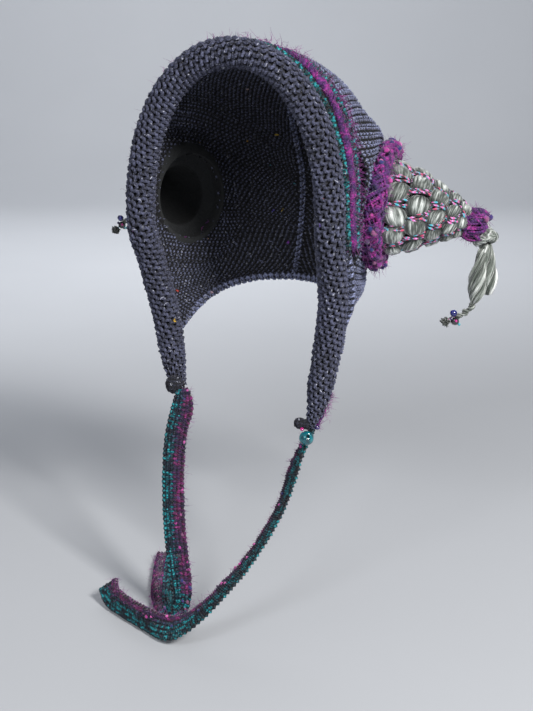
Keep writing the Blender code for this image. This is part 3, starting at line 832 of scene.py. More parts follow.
def patchy(name, slot, stops, scale, rough, sheen, glint=0):
    """Space-dyed yarn: its colour changes every few millimetres through a ramp of stops, with
    painted shade that darkens it to black where the yarn lies low in the fabric.
    """
    made = Finish(name, slot)
    where, _, _, twist = made.plied()
    dye = made.spread(made.noise(where, scale, 2), 0.28, 0.72)
    fine = made.noise(where, scale * 5, 2)
    colour = made.ramp(dye * 0.62 + made.own("tint") * 0.3 + fine * 0.1, stops)
    colour = made.mix(twist * 0.45, colour, (0, 0, 0))
    # painted shade: black where the loops lie low in the fabric
    colour = made.mix(made.spread(made.own("high"), 0.2, 0.9), (0, 0, 0), colour)
    if glint:
        colour = made.mix(made.noise(where, 330, 1) > 1 - glint, colour, (0.34, 0.36, 0.4))
    return made.set(Base_Color=colour, Roughness=rough, Sheen_Weight=sheen, Sheen_Roughness=0.4,
                    Normal=made.bump(twist * 0.7 + fine, 0.6, 0.0005))


teal_yarn = patchy("teal_yarn", "teal_yarn", [
    (0, (0.004, 0.005, 0.007)), (0.36, (0.004, 0.012, 0.018)), (0.45, (0.003, 0.06, 0.08)),
    (0.56, (0.006, 0.19, 0.22)), (0.66, (0.03, 0.5, 0.56)), (0.76, (0.004, 0.09, 0.12)),
    (0.9, (0.15, 0.03, 0.02))], 260, glint=0.27, rough=0.5, sheen=0.1)
mohair = patchy("mohair", "mohair_ribbon", [
    (0, (0.004, 0.003, 0.018)), (0.28, (0.02, 0.008, 0.07)), (0.42, (0.075, 0.012, 0.13)),
    (0.56, (0.12, 0.013, 0.17)), (0.7, (0.4, 0.024, 0.29)), (0.8, (0.09, 0.01, 0.12)),
    (1, (0.01, 0.01, 0.08))], 150, rough=0.7, sheen=0.22)


def stripe_path(bow, end):
    """The centre line of a stripe's row over the whole hood."""
    half = np.vstack([arch(*bow, 9), end])
    return curve_through(both_sides(half, half), 240)


def slub_strands(path, reach, strands, turns, yarn, slub, steps, seed, reference=(0, 1, 0), closed=False):
    """Strands wound round a path, thick and thin: a slub is where slow noise passes its mean."""
    rng = np.random.default_rng(seed)
    heading = np.gradient(path, axis=0)
    if closed:
        heading[[0, -1]] = path[1] - path[-2]
    share = np.linspace(0, 1, steps)
    middle, side, other = [read(share * (len(path) - 1), np.arange(len(path)), grid)
                           for grid in (path, *cross_ways(unit(heading), reference))]
    uneven = np.stack([np.stack([drifting(steps, 5, rng) for _ in range(strands)]) for _ in range(3)])
    if closed:
        uneven[:, :, -1] = uneven[:, :, 0]
    wind = np.where(np.arange(strands) % 2, -0.4, 1)[:, None] * turns if closed else turns
    phase = TURN * (np.arange(strands)[:, None] / strands + wind * share)
    phase = phase + (uneven[0] - 0.5) * 1.6 * np.sin(math.pi * share)
    radius = yarn * (0.65 + 0.5 * uneven[1]) + slub * np.clip(uneven[1] - 0.6, 0, 1) * 2.5
    out = reach * (0.6 + 0.7 * uneven[2]) - 0.4 * radius
    normals = spun(phase, side, other)
    return middle + out[..., None] * normals, normals, radius


def hairs(name, points, normals, count, lengths, seed, radius=0.15, lift=0.7, curl=1.7, droop=0):
    """Loose hairs: each is root + L (t a + t^2 b + t^3 c), with a near the outward way and b
    and c random bends, plus a curl of a turn or so, thinning to its tip and never reaching
    further than L from its root."""
    rng = np.random.default_rng(seed)
    pick = rng.integers(0, len(points), count)
    size = lengths[0] + (lengths[1] - lengths[0]) * rng.random(count) ** 1.5
    start = unit(normals[pick] * lift + rng.normal(0, 0.55, (count, 3)))
    bend = rng.normal(0, curl, (count, 3)) * 0.6 - np.array([0, 0, droop])
    twist = rng.normal(0, curl, (count, 3)) * 0.5
    t = np.linspace(0, 1, 5)[None, :, None]
    spin = rng.uniform(2, 7, (count, 1, 1)) * t
    curve = (t * start[:, None] + t**2 * bend[:, None] + t**3 * twist[:, None]
             + 0.16 * curl * (np.sin(spin) * bend[:, None] + (1 - np.cos(spin)) * twist[:, None]))
    curve = curve / np.maximum(np.linalg.norm(curve, axis=-1).max(axis=1), 1)[:, None, None]
    lines = (points[pick] + rng.normal(0, 0.4, (count, 3)))[:, None] + size[:, None, None] * curve
    lines[..., 2] = np.maximum(lines[..., 2], 1000 * cad_box[0][2])
    thin = radius * np.array([1, 1, 0.85, 0.65, 0.3]) * (0.7 + 0.6 * rng.random((count, 1)))
    return yarn_piece(name, lines, unit(rng.normal(0, 1, (count, 1, 3))), thin, 3, mohair_hair, (), seed,
                      2)


mohair_hair = Finish("mohair_hair", "mohair_ribbon")
mohair_hair.set(Roughness=0.5, Sheen_Weight=0.25, Base_Color=mohair_hair.ramp(mohair_hair.own("tint"), [
    (0, (0.02, 0.008, 0.07)), (0.35, (0.13, 0.014, 0.16)), (0.6, (0.3, 0.022, 0.26)),
    (0.85, (0.18, 0.015, 0.2)), (1, (0.05, 0.014, 0.14))]))

stripe_lines = {name: stripe_path(*shape) for name, shape in STRIPES.items()}
for name in ("stripe_teal_front", "stripe_teal_back"):
    bound_edge(name + "_loops", stripe_lines[name], "stripe", teal_yarn, [name], 41)
ribbon = stripe_lines["stripe_ribbon"]
strands = slub_strands(ribbon, reach=2.4, strands=7, turns=34, yarn=0.95, slub=2.1, steps=340, seed=43)
yarn_piece("stripe_ribbon_strands", *strands, 6, mohair, ["stripe_ribbon"], 44)
ribbon_skin = tube_skin(ribbon, 2.2, 12, (0, 1, 0))
head_out = unit(ribbon_skin.points - np.array(HEAD_MIDDLE))
facing = (ribbon_skin.normals * head_out).sum(-1) > 0.3
hairs("stripe_hairs", ribbon_skin.points[facing], head_out[facing], 1300, (3, 14), 45,
      radius=0.17, lift=0.65, curl=1.9)
back_row = stripe_lines["stripe_teal_back"]
back_row = back_row[back_row[:, 2] < -20]
back_out = unit(back_row - np.array(HEAD_MIDDLE))
hairs("stripe_matted_hairs", back_row + back_out * 1.2, unit(back_out * 0.4 + (0, 0.9, 0)), 900, (3, 9), 46,
      radius=0.19, lift=0.9, curl=1.5)
under_rows = grid_skin(np.stack(list(stripe_lines.values()), axis=1))
cloth_wall(ground_piece("stripe_ground", under_rows, 0, slate_shade_ground, (), True), 0.8)


# Horns
# Carded grey-green wool wound in plump puffs over a padded cone, course after course, each
# puff tied down at both ends by a few strokes of thin coloured yarn.

HORN_PROFILE = [               # distance along the axis, radius
    (-7, 35.8),
    (6, 36.3),
    (14, 37.3),
    (22, 36.2),
    (32, 33.4),
    (42, 29.4),
    (51, 24.6),
    (60, 20.4),
    (66, 17.8),
    (69, 15.6),
    (71, 13.2),
    (73.5, 9),
    (80, 5),
]
PUFFS = [                      # place along the axis, half its width there, puffs round
    (19, 9.6, 11),
    (36, 9.4, 10),
    (51, 7.8, 9),
    (62.5, 6.3, 8),
    (70.8, 5.6, 6),
]
PUFF_DEPTH_MM = 6.8            # how deep the creases between puffs go
PUFF_GRID = (15, 18)           # points from end to end and round the puff
STROKE_TURNS = (-0.055, 0, 0.055)      # radians between the strokes at a puff's end, at STROKE_RADIUS
STROKE_RADIUS = 36
CORE_DEPTH = ((5.5, 8.5), (0.3, 11.5))         # distances; how far the core lies below the cone there


def horn_radius(distance):
    """The wound cone's outer radius along its axis."""
    table = np.array(HORN_PROFILE)
    return np.interp(distance, *curve_through(np.c_[table, np.zeros(len(table))], 200)[:, :2].T)


def horn_place(axis, distance, turn, radius):
    """A point at a distance along the horn, a turn round it and a radius off its axis."""
    where, heading = along(axis, distance)
    outward = spun(turn, *cross_ways(heading))
    return where + radius[..., None] * outward, outward


def puff_rows(rng):
    """Each puff's place along the axis, turn, half its turn, half its width and slant."""
    rows = []
    for number, (place, half, count) in enumerate(PUFFS):
        turns = np.arange(count) + 0.5 * (number % 2) + rng.uniform(-0.12, 0.12, count)
        turns = turns * TURN / count
        rows.append(np.stack([place + rng.uniform(-0.7, 0.7, count), turns,
                              TURN / count * rng.uniform(0.47, 0.56, count),
                              half * rng.uniform(0.98, 1.14, count), rng.uniform(-0.12, 0.12, count)], 1))
    return np.vstack(rows)


def puff_mesh(axis, rows, rng):
    """Wound puffs as lemons that lie round the cone, pinched at both ends.

    Between its ends, at x = cos p, a puff's section turned by q spans w sin(p)^0.62 cos q
    along the axis and h sin(p)^0.8 sin q off the cone, with fine grooves from end to end.
    """
    place, turn, wide, half, slant = [column[:, None, None] for column in rows.T]
    p = np.linspace(0.02, math.pi - 0.02, PUFF_GRID[0])[None, :, None]
    q = (np.arange(PUFF_GRID[1]) * TURN / PUFF_GRID[1])[None, None, :]
    groove = 1 + 0.035 * np.sin(7 * q + 9 * slant) + 0.03 * np.sin(11 * q + 40 * slant)
    distance = place + half * np.sin(p) ** 0.62 * groove * np.cos(q) + slant * half * 2.5 * np.cos(p)
    angle = turn + wide * np.cos(p) * (1 + 0.04 * np.cos(q))
    rise = np.where(np.sin(q) > 0, PUFF_DEPTH_MM + 0.9, 2.6) * np.sin(p) ** 0.8 * groove * np.sin(q)
    # high: painted shade towards the pinched ends and the sides, painted highlight on the puff's crown
    high = np.clip(np.sin(p) * np.maximum(np.sin(q), 0) ** 0.7, 0, 1) + 0 * distance
    radius = horn_radius(np.clip(distance, 4, 71)) - PUFF_DEPTH_MM + rise
    points, _ = horn_place(axis, distance, angle, radius)
    quads = grid_quads(*PUFF_GRID, len(rows), True, (0, 3, 2, 1))
    uv = np.stack(np.broadcast_arrays(p * 10, q / TURN, place)[:2], -1)
    tint = np.broadcast_to(rng.random(len(rows))[:, None, None], points.shape[:3])
    return points, quads, uv, tint, high


def streaked(name, stops, lanes, pace, vary=0.15):
    """Carded wool: long pale and dark streaks along the fibres, from the UV map's lanes, a share of the
    tone that varies from one piece of wool to the next, painted highlight towards the ramp's
    near-white top where a piece stands high and painted shade towards black where it lies low."""
    made = Finish(name, "roving")
    length, turns = made.yarn_place()
    lane = made.node("ShaderNodeCombineXYZ", {
        "X": length * pace + made.own("tint") * 31, "Y": turns * lanes, "Z": made.own("tint") * 17})
    fibre = made.node("ShaderNodeCombineXYZ", {
        "X": length * pace * 2 + made.own("tint") * 11, "Y": turns * lanes * 3.5,
        "Z": made.own("tint") * 7})
    streak = made.spread(made.noise(lane, 1, 3), 0.36, 0.64)
    fine = made.noise(fibre, 1, 2)
    cloud = made.noise(made.place(), 60, 2)
    tone = streak * 0.44 + cloud * 0.13 + fine * 0.26 + made.own("tint") * vary
    # painted highlight where high, painted shade where low
    tone = tone + made.spread(made.own("high"), 0.1, 0.95) * 0.62 - (0.345 + vary / 2)
    colour = made.ramp(tone, stops)
    return made.set(Base_Color=colour, Roughness=0.45, Sheen_Weight=0.6, Sheen_Roughness=0.35,
                    Normal=made.bump(streak + fine * 0.8, 0.75, 0.0007))


def two_ply():
    """Thin two-ply yarn: one bright ply twisted with a black one."""
    made = Finish("tie_down_yarn", "mohair_ribbon")
    along_way, round_way = made.yarn_place()
    dye = (along_way * 0.35 + made.own("tint") * 25).sine() * 0.5 + 0.5
    colour = made.ramp(dye, [
        (0, (0.02, 0.45, 0.55)), (0.22, (0.75, 0.05, 0.33)), (0.45, (0.62, 0.4, 0.78)),
        (0.6, (0.8, 0.07, 0.3)), (0.8, (0.01, 0.36, 0.48)), (1, (0.55, 0.03, 0.12))])
    ply = (along_way * 0.95 + round_way * 6.283).sine()
    return made.set(Base_Color=made.mix(ply > -0.1, (0.012, 0.012, 0.018), colour), Roughness=0.6,
                    Sheen_Weight=0.4, Normal=made.bump(ply, 0.7, 0.0006))


# the near-white top stop, reached on the puffs' crowns, is painted highlight
roving = streaked("roving", [
    (0, (0.004, 0.005, 0.004)), (0.3, (0.02, 0.025, 0.022)), (0.55, (0.088, 0.102, 0.092)),
    (0.78, (0.36, 0.39, 0.37)), (1, (0.88, 0.9, 0.88))], 32, 0.09)
tie_down = two_ply()
# near-black core between the puffs: painted shade in the creases
horn_core_shade = ground("horn_core", "roving", (0.012, 0.013, 0.014))
for side, seed in (("left", 51), ("right", 52)):
    axis = horn_axis(side)
    rng = np.random.default_rng(seed)
    rows = puff_rows(rng)
    points, quads, uv, tint, high = puff_mesh(axis, rows, rng)
    mesh_piece("horn_puffs_" + side, points, quads, roving, ["horn_" + side], uv, tint, high)
    place, turn, wide, half, _ = np.repeat(rows, len(STROKE_TURNS), axis=0).T
    t = np.linspace(-1, 1, 11)
    shift = np.tile(STROKE_TURNS, len(rows)) * STROKE_RADIUS / horn_radius(place)
    each = (len(turn), 1)
    wave = rng.uniform(0.02, 0.06, each) * np.sin(t * 2.6 + rng.uniform(0, 6.3, each))
    run = np.clip(place[:, None] + t * (half * rng.uniform(0.8, 1.2, len(half)))[:, None], 8, 74)
    swing = (turn + wide + shift)[:, None] + wave * 30 / horn_radius(place)[:, None] - 0.07 * t
    sunk = horn_radius(run) - 3.6 + 1.9 * np.cos(t * 1.5) - 1.6 * t**4 + rng.uniform(-0.5, 0.5, each)
    strokes, outward = horn_place(axis, run, swing, sunk)
    yarn_piece("horn_strokes_" + side, strokes, outward, 1.05, 5, tie_down, (), seed)
    stations, turns = np.meshgrid(np.r_[0.5, np.linspace(-6.5, 70, 60), 71, 73, 77],
                                  np.linspace(0, TURN, 41), indexing="ij")
    inside = np.interp(stations, *CORE_DEPTH)
    inside[0] = -9
    shell, outward = horn_place(axis, stations, turns, np.maximum(horn_radius(stations) - inside, 2.5))
    ground_piece("horn_core_" + side, Skin(shell, outward), 0, horn_core_shade, ["horn_" + side], True)


# Base ring and tip collar of each horn: thick and thin mohair worked round and round, with
# slubs of navy and hot pink, brushed up into a deep fuzz.

RING_RADIUS = 44.4
RING_OUT_MM = 7.6              # how far out along the axis the ring lies
RING_UP_MM = 2.4
RING_LEAN = 0.07               # how far its way is turned down, in radians
COLLAR_AT = 80.5
COLLAR_DOWN_MM = 1.6
COLLAR_RADIUS = 9.8
SLUB_COLOURS = [
    (0, (0.01, 0.014, 0.1)), (0.3, (0.02, 0.03, 0.2)), (0.42, (0.6, 0.04, 0.36)),
    (0.62, (0.85, 0.16, 0.55)), (0.74, (0.012, 0.05, 0.035)), (0.86, (0.2, 0.03, 0.24)),
    (1, (0.02, 0.02, 0.08))]


def ring_path(centre, heading, radius, count):
    """A closed circle across a heading."""
    return centre + radius * spun(np.linspace(0, TURN, count), *cross_ways(heading))


def slubs(name, points, normals, count, size, reach, seed):
    """Soft spindles that lie on the strands at random."""
    rng = np.random.default_rng(seed)
    pick = rng.integers(0, len(points), count)
    lie = unit(np.cross(normals[pick], rng.normal(0, 1, (count, 3))))
    t = np.linspace(-0.5, 0.5, 7)
    length = size * rng.uniform(1.6, 3.4, (count, 1, 1))
    lines = (points[pick] + normals[pick] * reach)[:, None] + length * t[None, :, None] * lie[:, None]
    lines = lines + 0.5 * size * (0.25 - t**2)[None, :, None] * rng.normal(0, 1, (count, 1, 3))
    thick = size * rng.uniform(0.7, 1.2, (count, 1)) * np.array([[0.1, 0.6, 0.95, 1, 0.9, 0.55, 0.1]])
    return yarn_piece(name, lines, normals[pick][:, None], thick, 6, slub_wool, (), seed)


slub_wool = Finish("slub_wool", "mohair_ribbon")
slub_grain = slub_wool.noise(slub_wool.place(), 900, 2)
slub_wool.set(
    Base_Color=slub_wool.mix(slub_grain * 0.7, slub_wool.ramp(slub_wool.own("tint"), SLUB_COLOURS),
                             (0.02, 0.01, 0.04)),
    Roughness=0.9, Sheen_Weight=0.4, Normal=slub_wool.bump(slub_grain, 0.7, 0.0006))

RINGS = [                      # radius, reach, strands, their turns, hairs, longest one, stretch
    ("horn_ring_", RING_RADIUS, 5.4, 22, 9, 1500, 12, 0.4),
    ("tip_ring_", COLLAR_RADIUS, 2.9, 11, 5, 600, 9, 1.8),
]
for side, seed in (("left", 61), ("right", 62)):
    base, base_way = along(horn_axis(side), 0)
    tip, tip_way = along(horn_axis(side), COLLAR_AT)
    mirror = (1 if side == "left" else -1, 1, 1)
    seats = ((base + RING_OUT_MM * base_way + (0, 0, RING_UP_MM), unit(base_way - (0, 0, RING_LEAN))),
             (tip - (0, 0, COLLAR_DOWN_MM), tip_way))
    for (name, radius, reach, strands, turns, count, longest, stretch), (centre, way) in zip(RINGS, seats):
        lines, normals, thick = slub_strands(ring_path(centre, way, radius, 97), reach, strands, turns,
                                             yarn=0.95, slub=1.3, steps=120, seed=seed, reference=way,
                                             closed=True)
        lines = lines + way * (((lines - centre) @ way) * stretch)[..., None]
        if name == "horn_ring_":
            lines = laid_on_crown(drawn_by_horn(lines * mirror, (-1,)), 0.6) * mirror
        arms = lines - centre
        spoke = unit(arms - (arms @ way)[..., None] * way)
        facing = normals @ way
        clear = (name == "tip_ring_") | ((normals * spoke).sum(-1) > 0) & (facing > -0.3) | (facing > 0.4)
        slubs(name + "slubs_" + side, lines[clear], normals[clear], count // 17, 2, 1.3, seed + 9)
        yarn_piece(name + "strands_" + side, lines, normals, thick, 5, mohair, [name + side], seed)
        hairs(name + "hairs_" + side, lines[clear], normals[clear], count, (2, longest), seed + 5,
              droop=0.05)


# Tassels
# A cord comes out of each tip collar and is knotted with two wraps of the same roving; two
# combed locks hang from it, and the longer one ends in a knotted cord with glass beads.

KNOT_DROP = {"left": 9, "right": 13.5}
KNOT_SHIFT = {"left": 3.2, "right": 0}         # back along the sideways direction
KNOT_WRAPS = ((0.55, 6.4, 5.6), (-0.45, 0.4, 6))       # tilt in radians, height, radius
CORD_FROM = 80.6
TUFT_FIBRES = 160
GOLDEN_TURN = 2.39996          # radians between one strand of a lock and the next
LOCKS = {                      # sideways, down, towards the front, radius
    "long": [(0.5, 3, 0, 5.2), (1.5, 14, 0, 7.6), (2.2, 26, 0, 8.8),
             (3.2, 36, 0, 7.2), (3.6, 44, 0, 3.4)],
    "low": [(-2, 7, 2, 4), (-4.5, 20, 4.5, 6), (-6, 34, 5, 8.4),
            (-6.8, 43, 4, 7.2), (-7.8, 50, 3, 2.8)],
    "cord": [(-8, 49, 3, 1.6), (-9.6, 53, 3, 2.9), (-11.4, 55.4, 2.5, 1.7),
             (-14, 57.6, 2, 3), (-16.4, 59.4, 2, 1.5), (-18.8, 60.4, 2, 2.5), (-21, 63, 2, 1.3)],
}
CORD_BEADS = {                 # sideways, down, front, radius
    "bead_black": (-21.9, 64.6, 2, 3.5),
    "bead_blue": (-23.1, 58.2, 2, 3),
}
CORD_END = (-29.2, 65.4, 2)
SEED_BEADS = [((-21.4, 63.8, 5), "magenta"), ((-18.6, 67, 3.2), "cyan"), ((-25, 62.4, 3.4), "violet")]
BEADS_OFF = {"left": (0, 0), "right": (-1.6, -3.9)}
THREAD = [(-19, 62.4, 2), (-21.7, 64.2, 2.2), (-23.1, 60.6, 2.3), (-25.6, 61.6, 2.3), (-28.6, 64.8, 2)]
SIDEWAYS = np.array([0.891, 0.454, 0])
FORWARD = np.array([0.454, -0.891, 0])
BEAD_HOLE = 0.28               # hole radius as a share of the bead's


def hang(knot, rows):
    """Places of a tassel table's sideways, down and front offsets."""
    rows = np.array(rows, float)
    down = rows[..., 1:2] * np.array([0, 0, 1])
    return knot + rows[..., 0:1] * SIDEWAYS + rows[..., 2:3] * FORWARD - down


def lock(path, radii, strands, steps, seed, twist):
    """Combed strands that fill a tapering lock and come together at both of its ends."""
    rng = np.random.default_rng(seed)
    centre = curve_through(np.c_[path, radii], steps)
    side, other = cross_ways(unit(np.gradient(centre[:, :3], axis=0)), (0.3, 1, 0.1))
    spread = np.sqrt((np.arange(strands) + 0.5) / strands) * 0.72
    turn = (np.arange(strands) * GOLDEN_TURN)[:, None] + twist * TURN * np.linspace(0, 1, steps)
    off = spread[:, None] * centre[:, 3] * (0.9 + 0.2 * rng.random((strands, 1)))
    lines = centre[:, :3] + off[..., None] * spun(turn, side, other)
    thick = centre[:, 3] * 0.95 / math.sqrt(strands) * (0.9 + 0.25 * rng.random((strands, 1)))
    thick[:, 0] *= 0.3
    thick[:, -1] *= 0.15
    return lines, side, thick


def bead_mesh(centre, radius, way, around=20, rings=12):
    """A turned bead: an ellipse's profile from rim to rim of its hole, then down the hole."""
    way = unit(np.array(way, float))
    start = math.asin(BEAD_HOLE)
    p = np.linspace(start, math.pi - start, rings)
    height = np.r_[-np.cos(p) * 0.92, 0.6, -0.6] * radius
    reach = np.r_[np.sin(p), BEAD_HOLE * 0.85, BEAD_HOLE * 0.85] * radius
    circle = spun(np.arange(around) * TURN / around, *cross_ways(way, (0.3, 0.2, 1)))
    points = centre + height[:, None, None] * way + reach[:, None, None] * circle
    quads = grid_quads(len(height) + 1, around, 1, True, (0, 3, 2, 1)) % (len(height) * around)
    return points, quads


def glass(name, slot, colour, swirl):
    """Pressed glass: deep colour with a cloudy swirl and a clear gloss."""
    made = Finish(name, slot)
    cloud = made.noise(made.place(), 260, 3)
    return made.set(Base_Color=made.mix(made.spread(cloud, 0.35, 0.7), colour, swirl), Roughness=0.08,
                    Coat_Weight=1, Coat_Roughness=0.03, Specular_IOR_Level=0.6)


bead_finish = {
    "bead_black": glass("glass_black", "bead_glass_black", (0.004, 0.004, 0.006), (0.02, 0.02, 0.026)),
    "bead_blue": glass("glass_blue", "bead_glass_blue", (0.003, 0.004, 0.05), (0.015, 0.02, 0.24)),
    "teal": glass("glass_teal", "bead_glass_teal", (0, 0.03, 0.045), (0, 0.23, 0.28)),
    "violet": glass("glass_violet", "bead_glass_violet", (0.012, 0.006, 0.05), (0.06, 0.03, 0.18)),
    "cyan": glass("glass_cyan", "bead_glass_teal", (0.02, 0.3, 0.36), (0.3, 0.75, 0.8)),
    "magenta": glass("glass_magenta", "bead_glass_violet", (0.35, 0.01, 0.14), (0.6, 0.05, 0.3)),
}


def bead(name, centre, radius, way, finish, nodes=()):
    mesh_piece(name, *bead_mesh(np.array(centre), radius, way), bead_finish[finish], nodes)


# the near-white top stop, reached where a piece stands high, is painted highlight
combed = streaked("combed_roving", [
    (0, (0.005, 0.007, 0.005)), (0.35, (0.035, 0.045, 0.036)), (0.6, (0.13, 0.15, 0.13)),
    (0.8, (0.42, 0.45, 0.42)), (1, (0.9, 0.91, 0.89))], 5, 0.06, 0.4)

for side, seed in (("left", 71), ("right", 72)):
    axis = horn_axis(side)
    node = ["tassel_" + side]
    end, _ = along(axis, KNOT_AT[side])
    knot = end - np.array([0, 0, KNOT_DROP[side]]) - KNOT_SHIFT[side] * SIDEWAYS
    for number, (name, rows) in enumerate(LOCKS.items()):
        rows = np.array(rows)
        if name == "cord":
            rows[:, :2] += np.linspace(0.3, 1, len(rows))[:, None] * BEADS_OFF[side]
        count, twist = (5, 2.5) if name == "cord" else (18, 0.6)
        strands = lock(hang(knot, rows), rows[:, 3], count, 26, seed + number, twist)
        # high by strand: painted shade on the inner strands near the lock's middle, painted light on the
        # outer ones
        yarn_piece(f"lock_{name}_{side}", *strands, 5, combed, node, seed + number,
                   high=np.linspace(0.1, 1, count)[:, None] ** 0.8)
    start, heading = along(axis, CORD_FROM)
    stub = np.array([start, start + 6 * heading, end * 0.55 + knot * 0.45])
    yarn_piece("tassel_cord_" + side, *lock(stub, (4.4, 4.4, 4.8), 7, 16, seed + 7, 1), 6, combed, node,
               seed + 7)
    for number, (tilt, lift, size) in enumerate(KNOT_WRAPS):
        way = unit(np.array([math.sin(tilt), 0.25, math.cos(tilt)]))
        wrap = ring_path(knot + np.array([0, 0, lift]), way, size, 33)
        strands = slub_strands(wrap, reach=3.1, strands=13, turns=3, yarn=1.6, slub=0.2, steps=60,
                               seed=seed + 8 + number, reference=way, closed=True)
        yarn_piece(f"knot_wrap_{number + 1}_{side}", *strands, 6, combed, node, seed + 9)
    off = np.array([*BEADS_OFF[side], 0])
    for name, row in CORD_BEADS.items():
        bead(f"glass_{name}_{side}", hang(knot, row[:3] + off), row[3], (0.4, 0.5, 0.75), name,
             [f"{name}_{side}"])
    for number, (row, finish) in enumerate(SEED_BEADS):
        bead(f"seed_bead_{number + 1}_{side}", hang(knot, row + off), 1.2, (0.7, 0.2, 0.6), finish)
    rng = np.random.default_rng(seed + 20)
    fan = unit(rng.normal(0, 1, (TUFT_FIBRES, 3)))[:, None]
    t = np.linspace(0, 1, 5)[None, :, None]
    lines = hang(knot, CORD_END) + 4 * fan * (t - 0.15) + 0.6 * t**2 * rng.normal(0, 1, (TUFT_FIBRES, 1, 3))
    # high from 0.2 to 0.6 along each fibre: painted shade, darkest at the tuft's middle
    yarn_piece("cord_tuft_" + side, lines, unit(rng.normal(0, 1, (TUFT_FIBRES, 1, 3))),
               0.55 * np.array([0.6, 1, 1, 1, 0.7]), 3, combed, ["cord_end_" + side], seed,
               high=(0.2, 0.3, 0.4, 0.5, 0.6))
    thread = curve_through(hang(knot, THREAD), 30)[None]
    yarn_piece("bead_thread_" + side, thread, FORWARD, 0.45, 5, tie_down, (), seed)


# Flap ends
# Each flap is drawn together at its end: a small knitted knob and beads on the left one, a
# round knitted ball on the right one.


def knitted_ball(name, centre, radius, stitch, yarn, seed):
    """Purl bumps in rings from pole to pole of a ball."""
    p = np.linspace(0.02, math.pi - 0.02, 25)[None, :]
    q = np.linspace(0, TURN, 33)[:, None]
    normals = np.stack(np.broadcast_arrays(np.sin(p) * np.cos(q), np.sin(p) * np.sin(q), np.cos(p)), -1)
    skin = Skin(np.array(centre) + normals * (radius - yarn), normals)
    courses = round(math.pi * radius / (stitch * 0.8))
    stitches = round(TURN * radius / stitch)
    # the balls' loops never stand fully high, so painted shade darkens them all over
    purled(name, skin, stitches, courses, yarn, shaded_roll_wool, (), seed, 3, shade_tones=(0.1, 0.45))
    ground_piece(name + "_core", skin, yarn * 0.6, slate_shade_ground, (), True)


knitted_ball("flap_knob_left", (52.8, -4, -276), 4.4, 3.4, 1.05, 81)
knitted_ball("flap_knot_left", (57.6, -2, -276.6), 4, 3.4, 1.05, 83)
knitted_ball("flap_ball_right", (-57, -10.5, -256.6), 7.4, 4.2, 1.35, 82)
bead("glass_flap_bead_teal", (60, -6.9, -286.6), 5.9, (0.55, -0.55, 0.6), "teal", ["flap_bead_teal"])
bead("glass_flap_bead_violet", (65.2, 1.8, -279.4), 2.2, (0.3, 0.2, 0.9), "violet", ["flap_bead_violet"])
bead("seed_bead_magenta", (55.9, -6.5, -279.9), 1.5, (0.3, -0.6, 0.7), "magenta")
edge_strand = curve_through([(74.5, 8, -251), (69.6, 5.4, -266), (66.6, 3.6, -274), (64.2, 2.4, -280)], 60)
lines, normals, thick = slub_strands(edge_strand, reach=0.9, strands=3, turns=4, yarn=0.7, slub=0.9,
                                     steps=60, seed=84)
yarn_piece("flap_strand_left", lines[:, 28:], normals[:, 28:], thick[:, 28:], 5, mohair, (), 84)
hairs("flap_strand_hairs", lines.reshape(-1, 3), unit(normals.reshape(-1, 3) + (0.8, 0.5, 0)), 200, (3, 9),
      85, radius=0.13, curl=1.8)


# Ties
# Flat garter bands of five courses: teal yarn along one edge, the thick and thin mohair along
# the other, and the two carried together between them. They hang from the flap ends and lie
# on the floor.

TIE_LEFT = [                   # x, y, z, the way to the purple edge, width
    (60.3, 3.8, -280.7, -0.4, 0.9, 0, 8.5),
    (58.9, 4.1, -285.2, -0.5, 0.86, 0, 9.5),
    (56.2, 2.6, -291, -0.6, 0.8, 0, 11),
    (53.8, -1, -298.2, -0.65, 0.75, -0.05, 13),
    (50.9, -4.5, -307.2, -0.68, 0.72, -0.1, 17),
    (48.7, -9, -318.5, -0.69, 0.71, -0.15, 20),
    (46.4, -17, -335, -0.62, 0.77, -0.16, 20),
    (42.2, -27.5, -351.5, -0.62, 0.78, -0.14, 20),
    (35.9, -38.5, -367.1, -0.62, 0.78, -0.11, 20),
    (27.3, -51, -384.6, -0.62, 0.78, -0.08, 20),
    (18.4, -65, -398.2, -0.61, 0.79, 0, 20),
    (9, -78, -411, -0.61, 0.78, 0.1, 20),
    (-2.5, -87, -421.8, -0.55, 0.75, 0.3, 20),
    (-15, -90.5, -428.6, -0.4, 0.65, 0.6, 20),
    (-28, -88.5, -430.4, -0.22, 0.45, 0.85, 20),
    (-40, -84.5, -430.6, -0.05, 0.2, 0.97, 20),
    (-53, -79.5, -430.6, 0.05, 0.08, 0.99, 20),
    (-67, -73.5, -430.6, 0.12, 0.08, 0.98, 20),
    (-81, -66.5, -430.4, 0.22, 0.12, 0.96, 20),
    (-93.5, -58.5, -430, 0.5, 0.2, 0.84, 20),
    (-102, -50, -425.4, 0.86, 0.25, 0.44, 19),
]
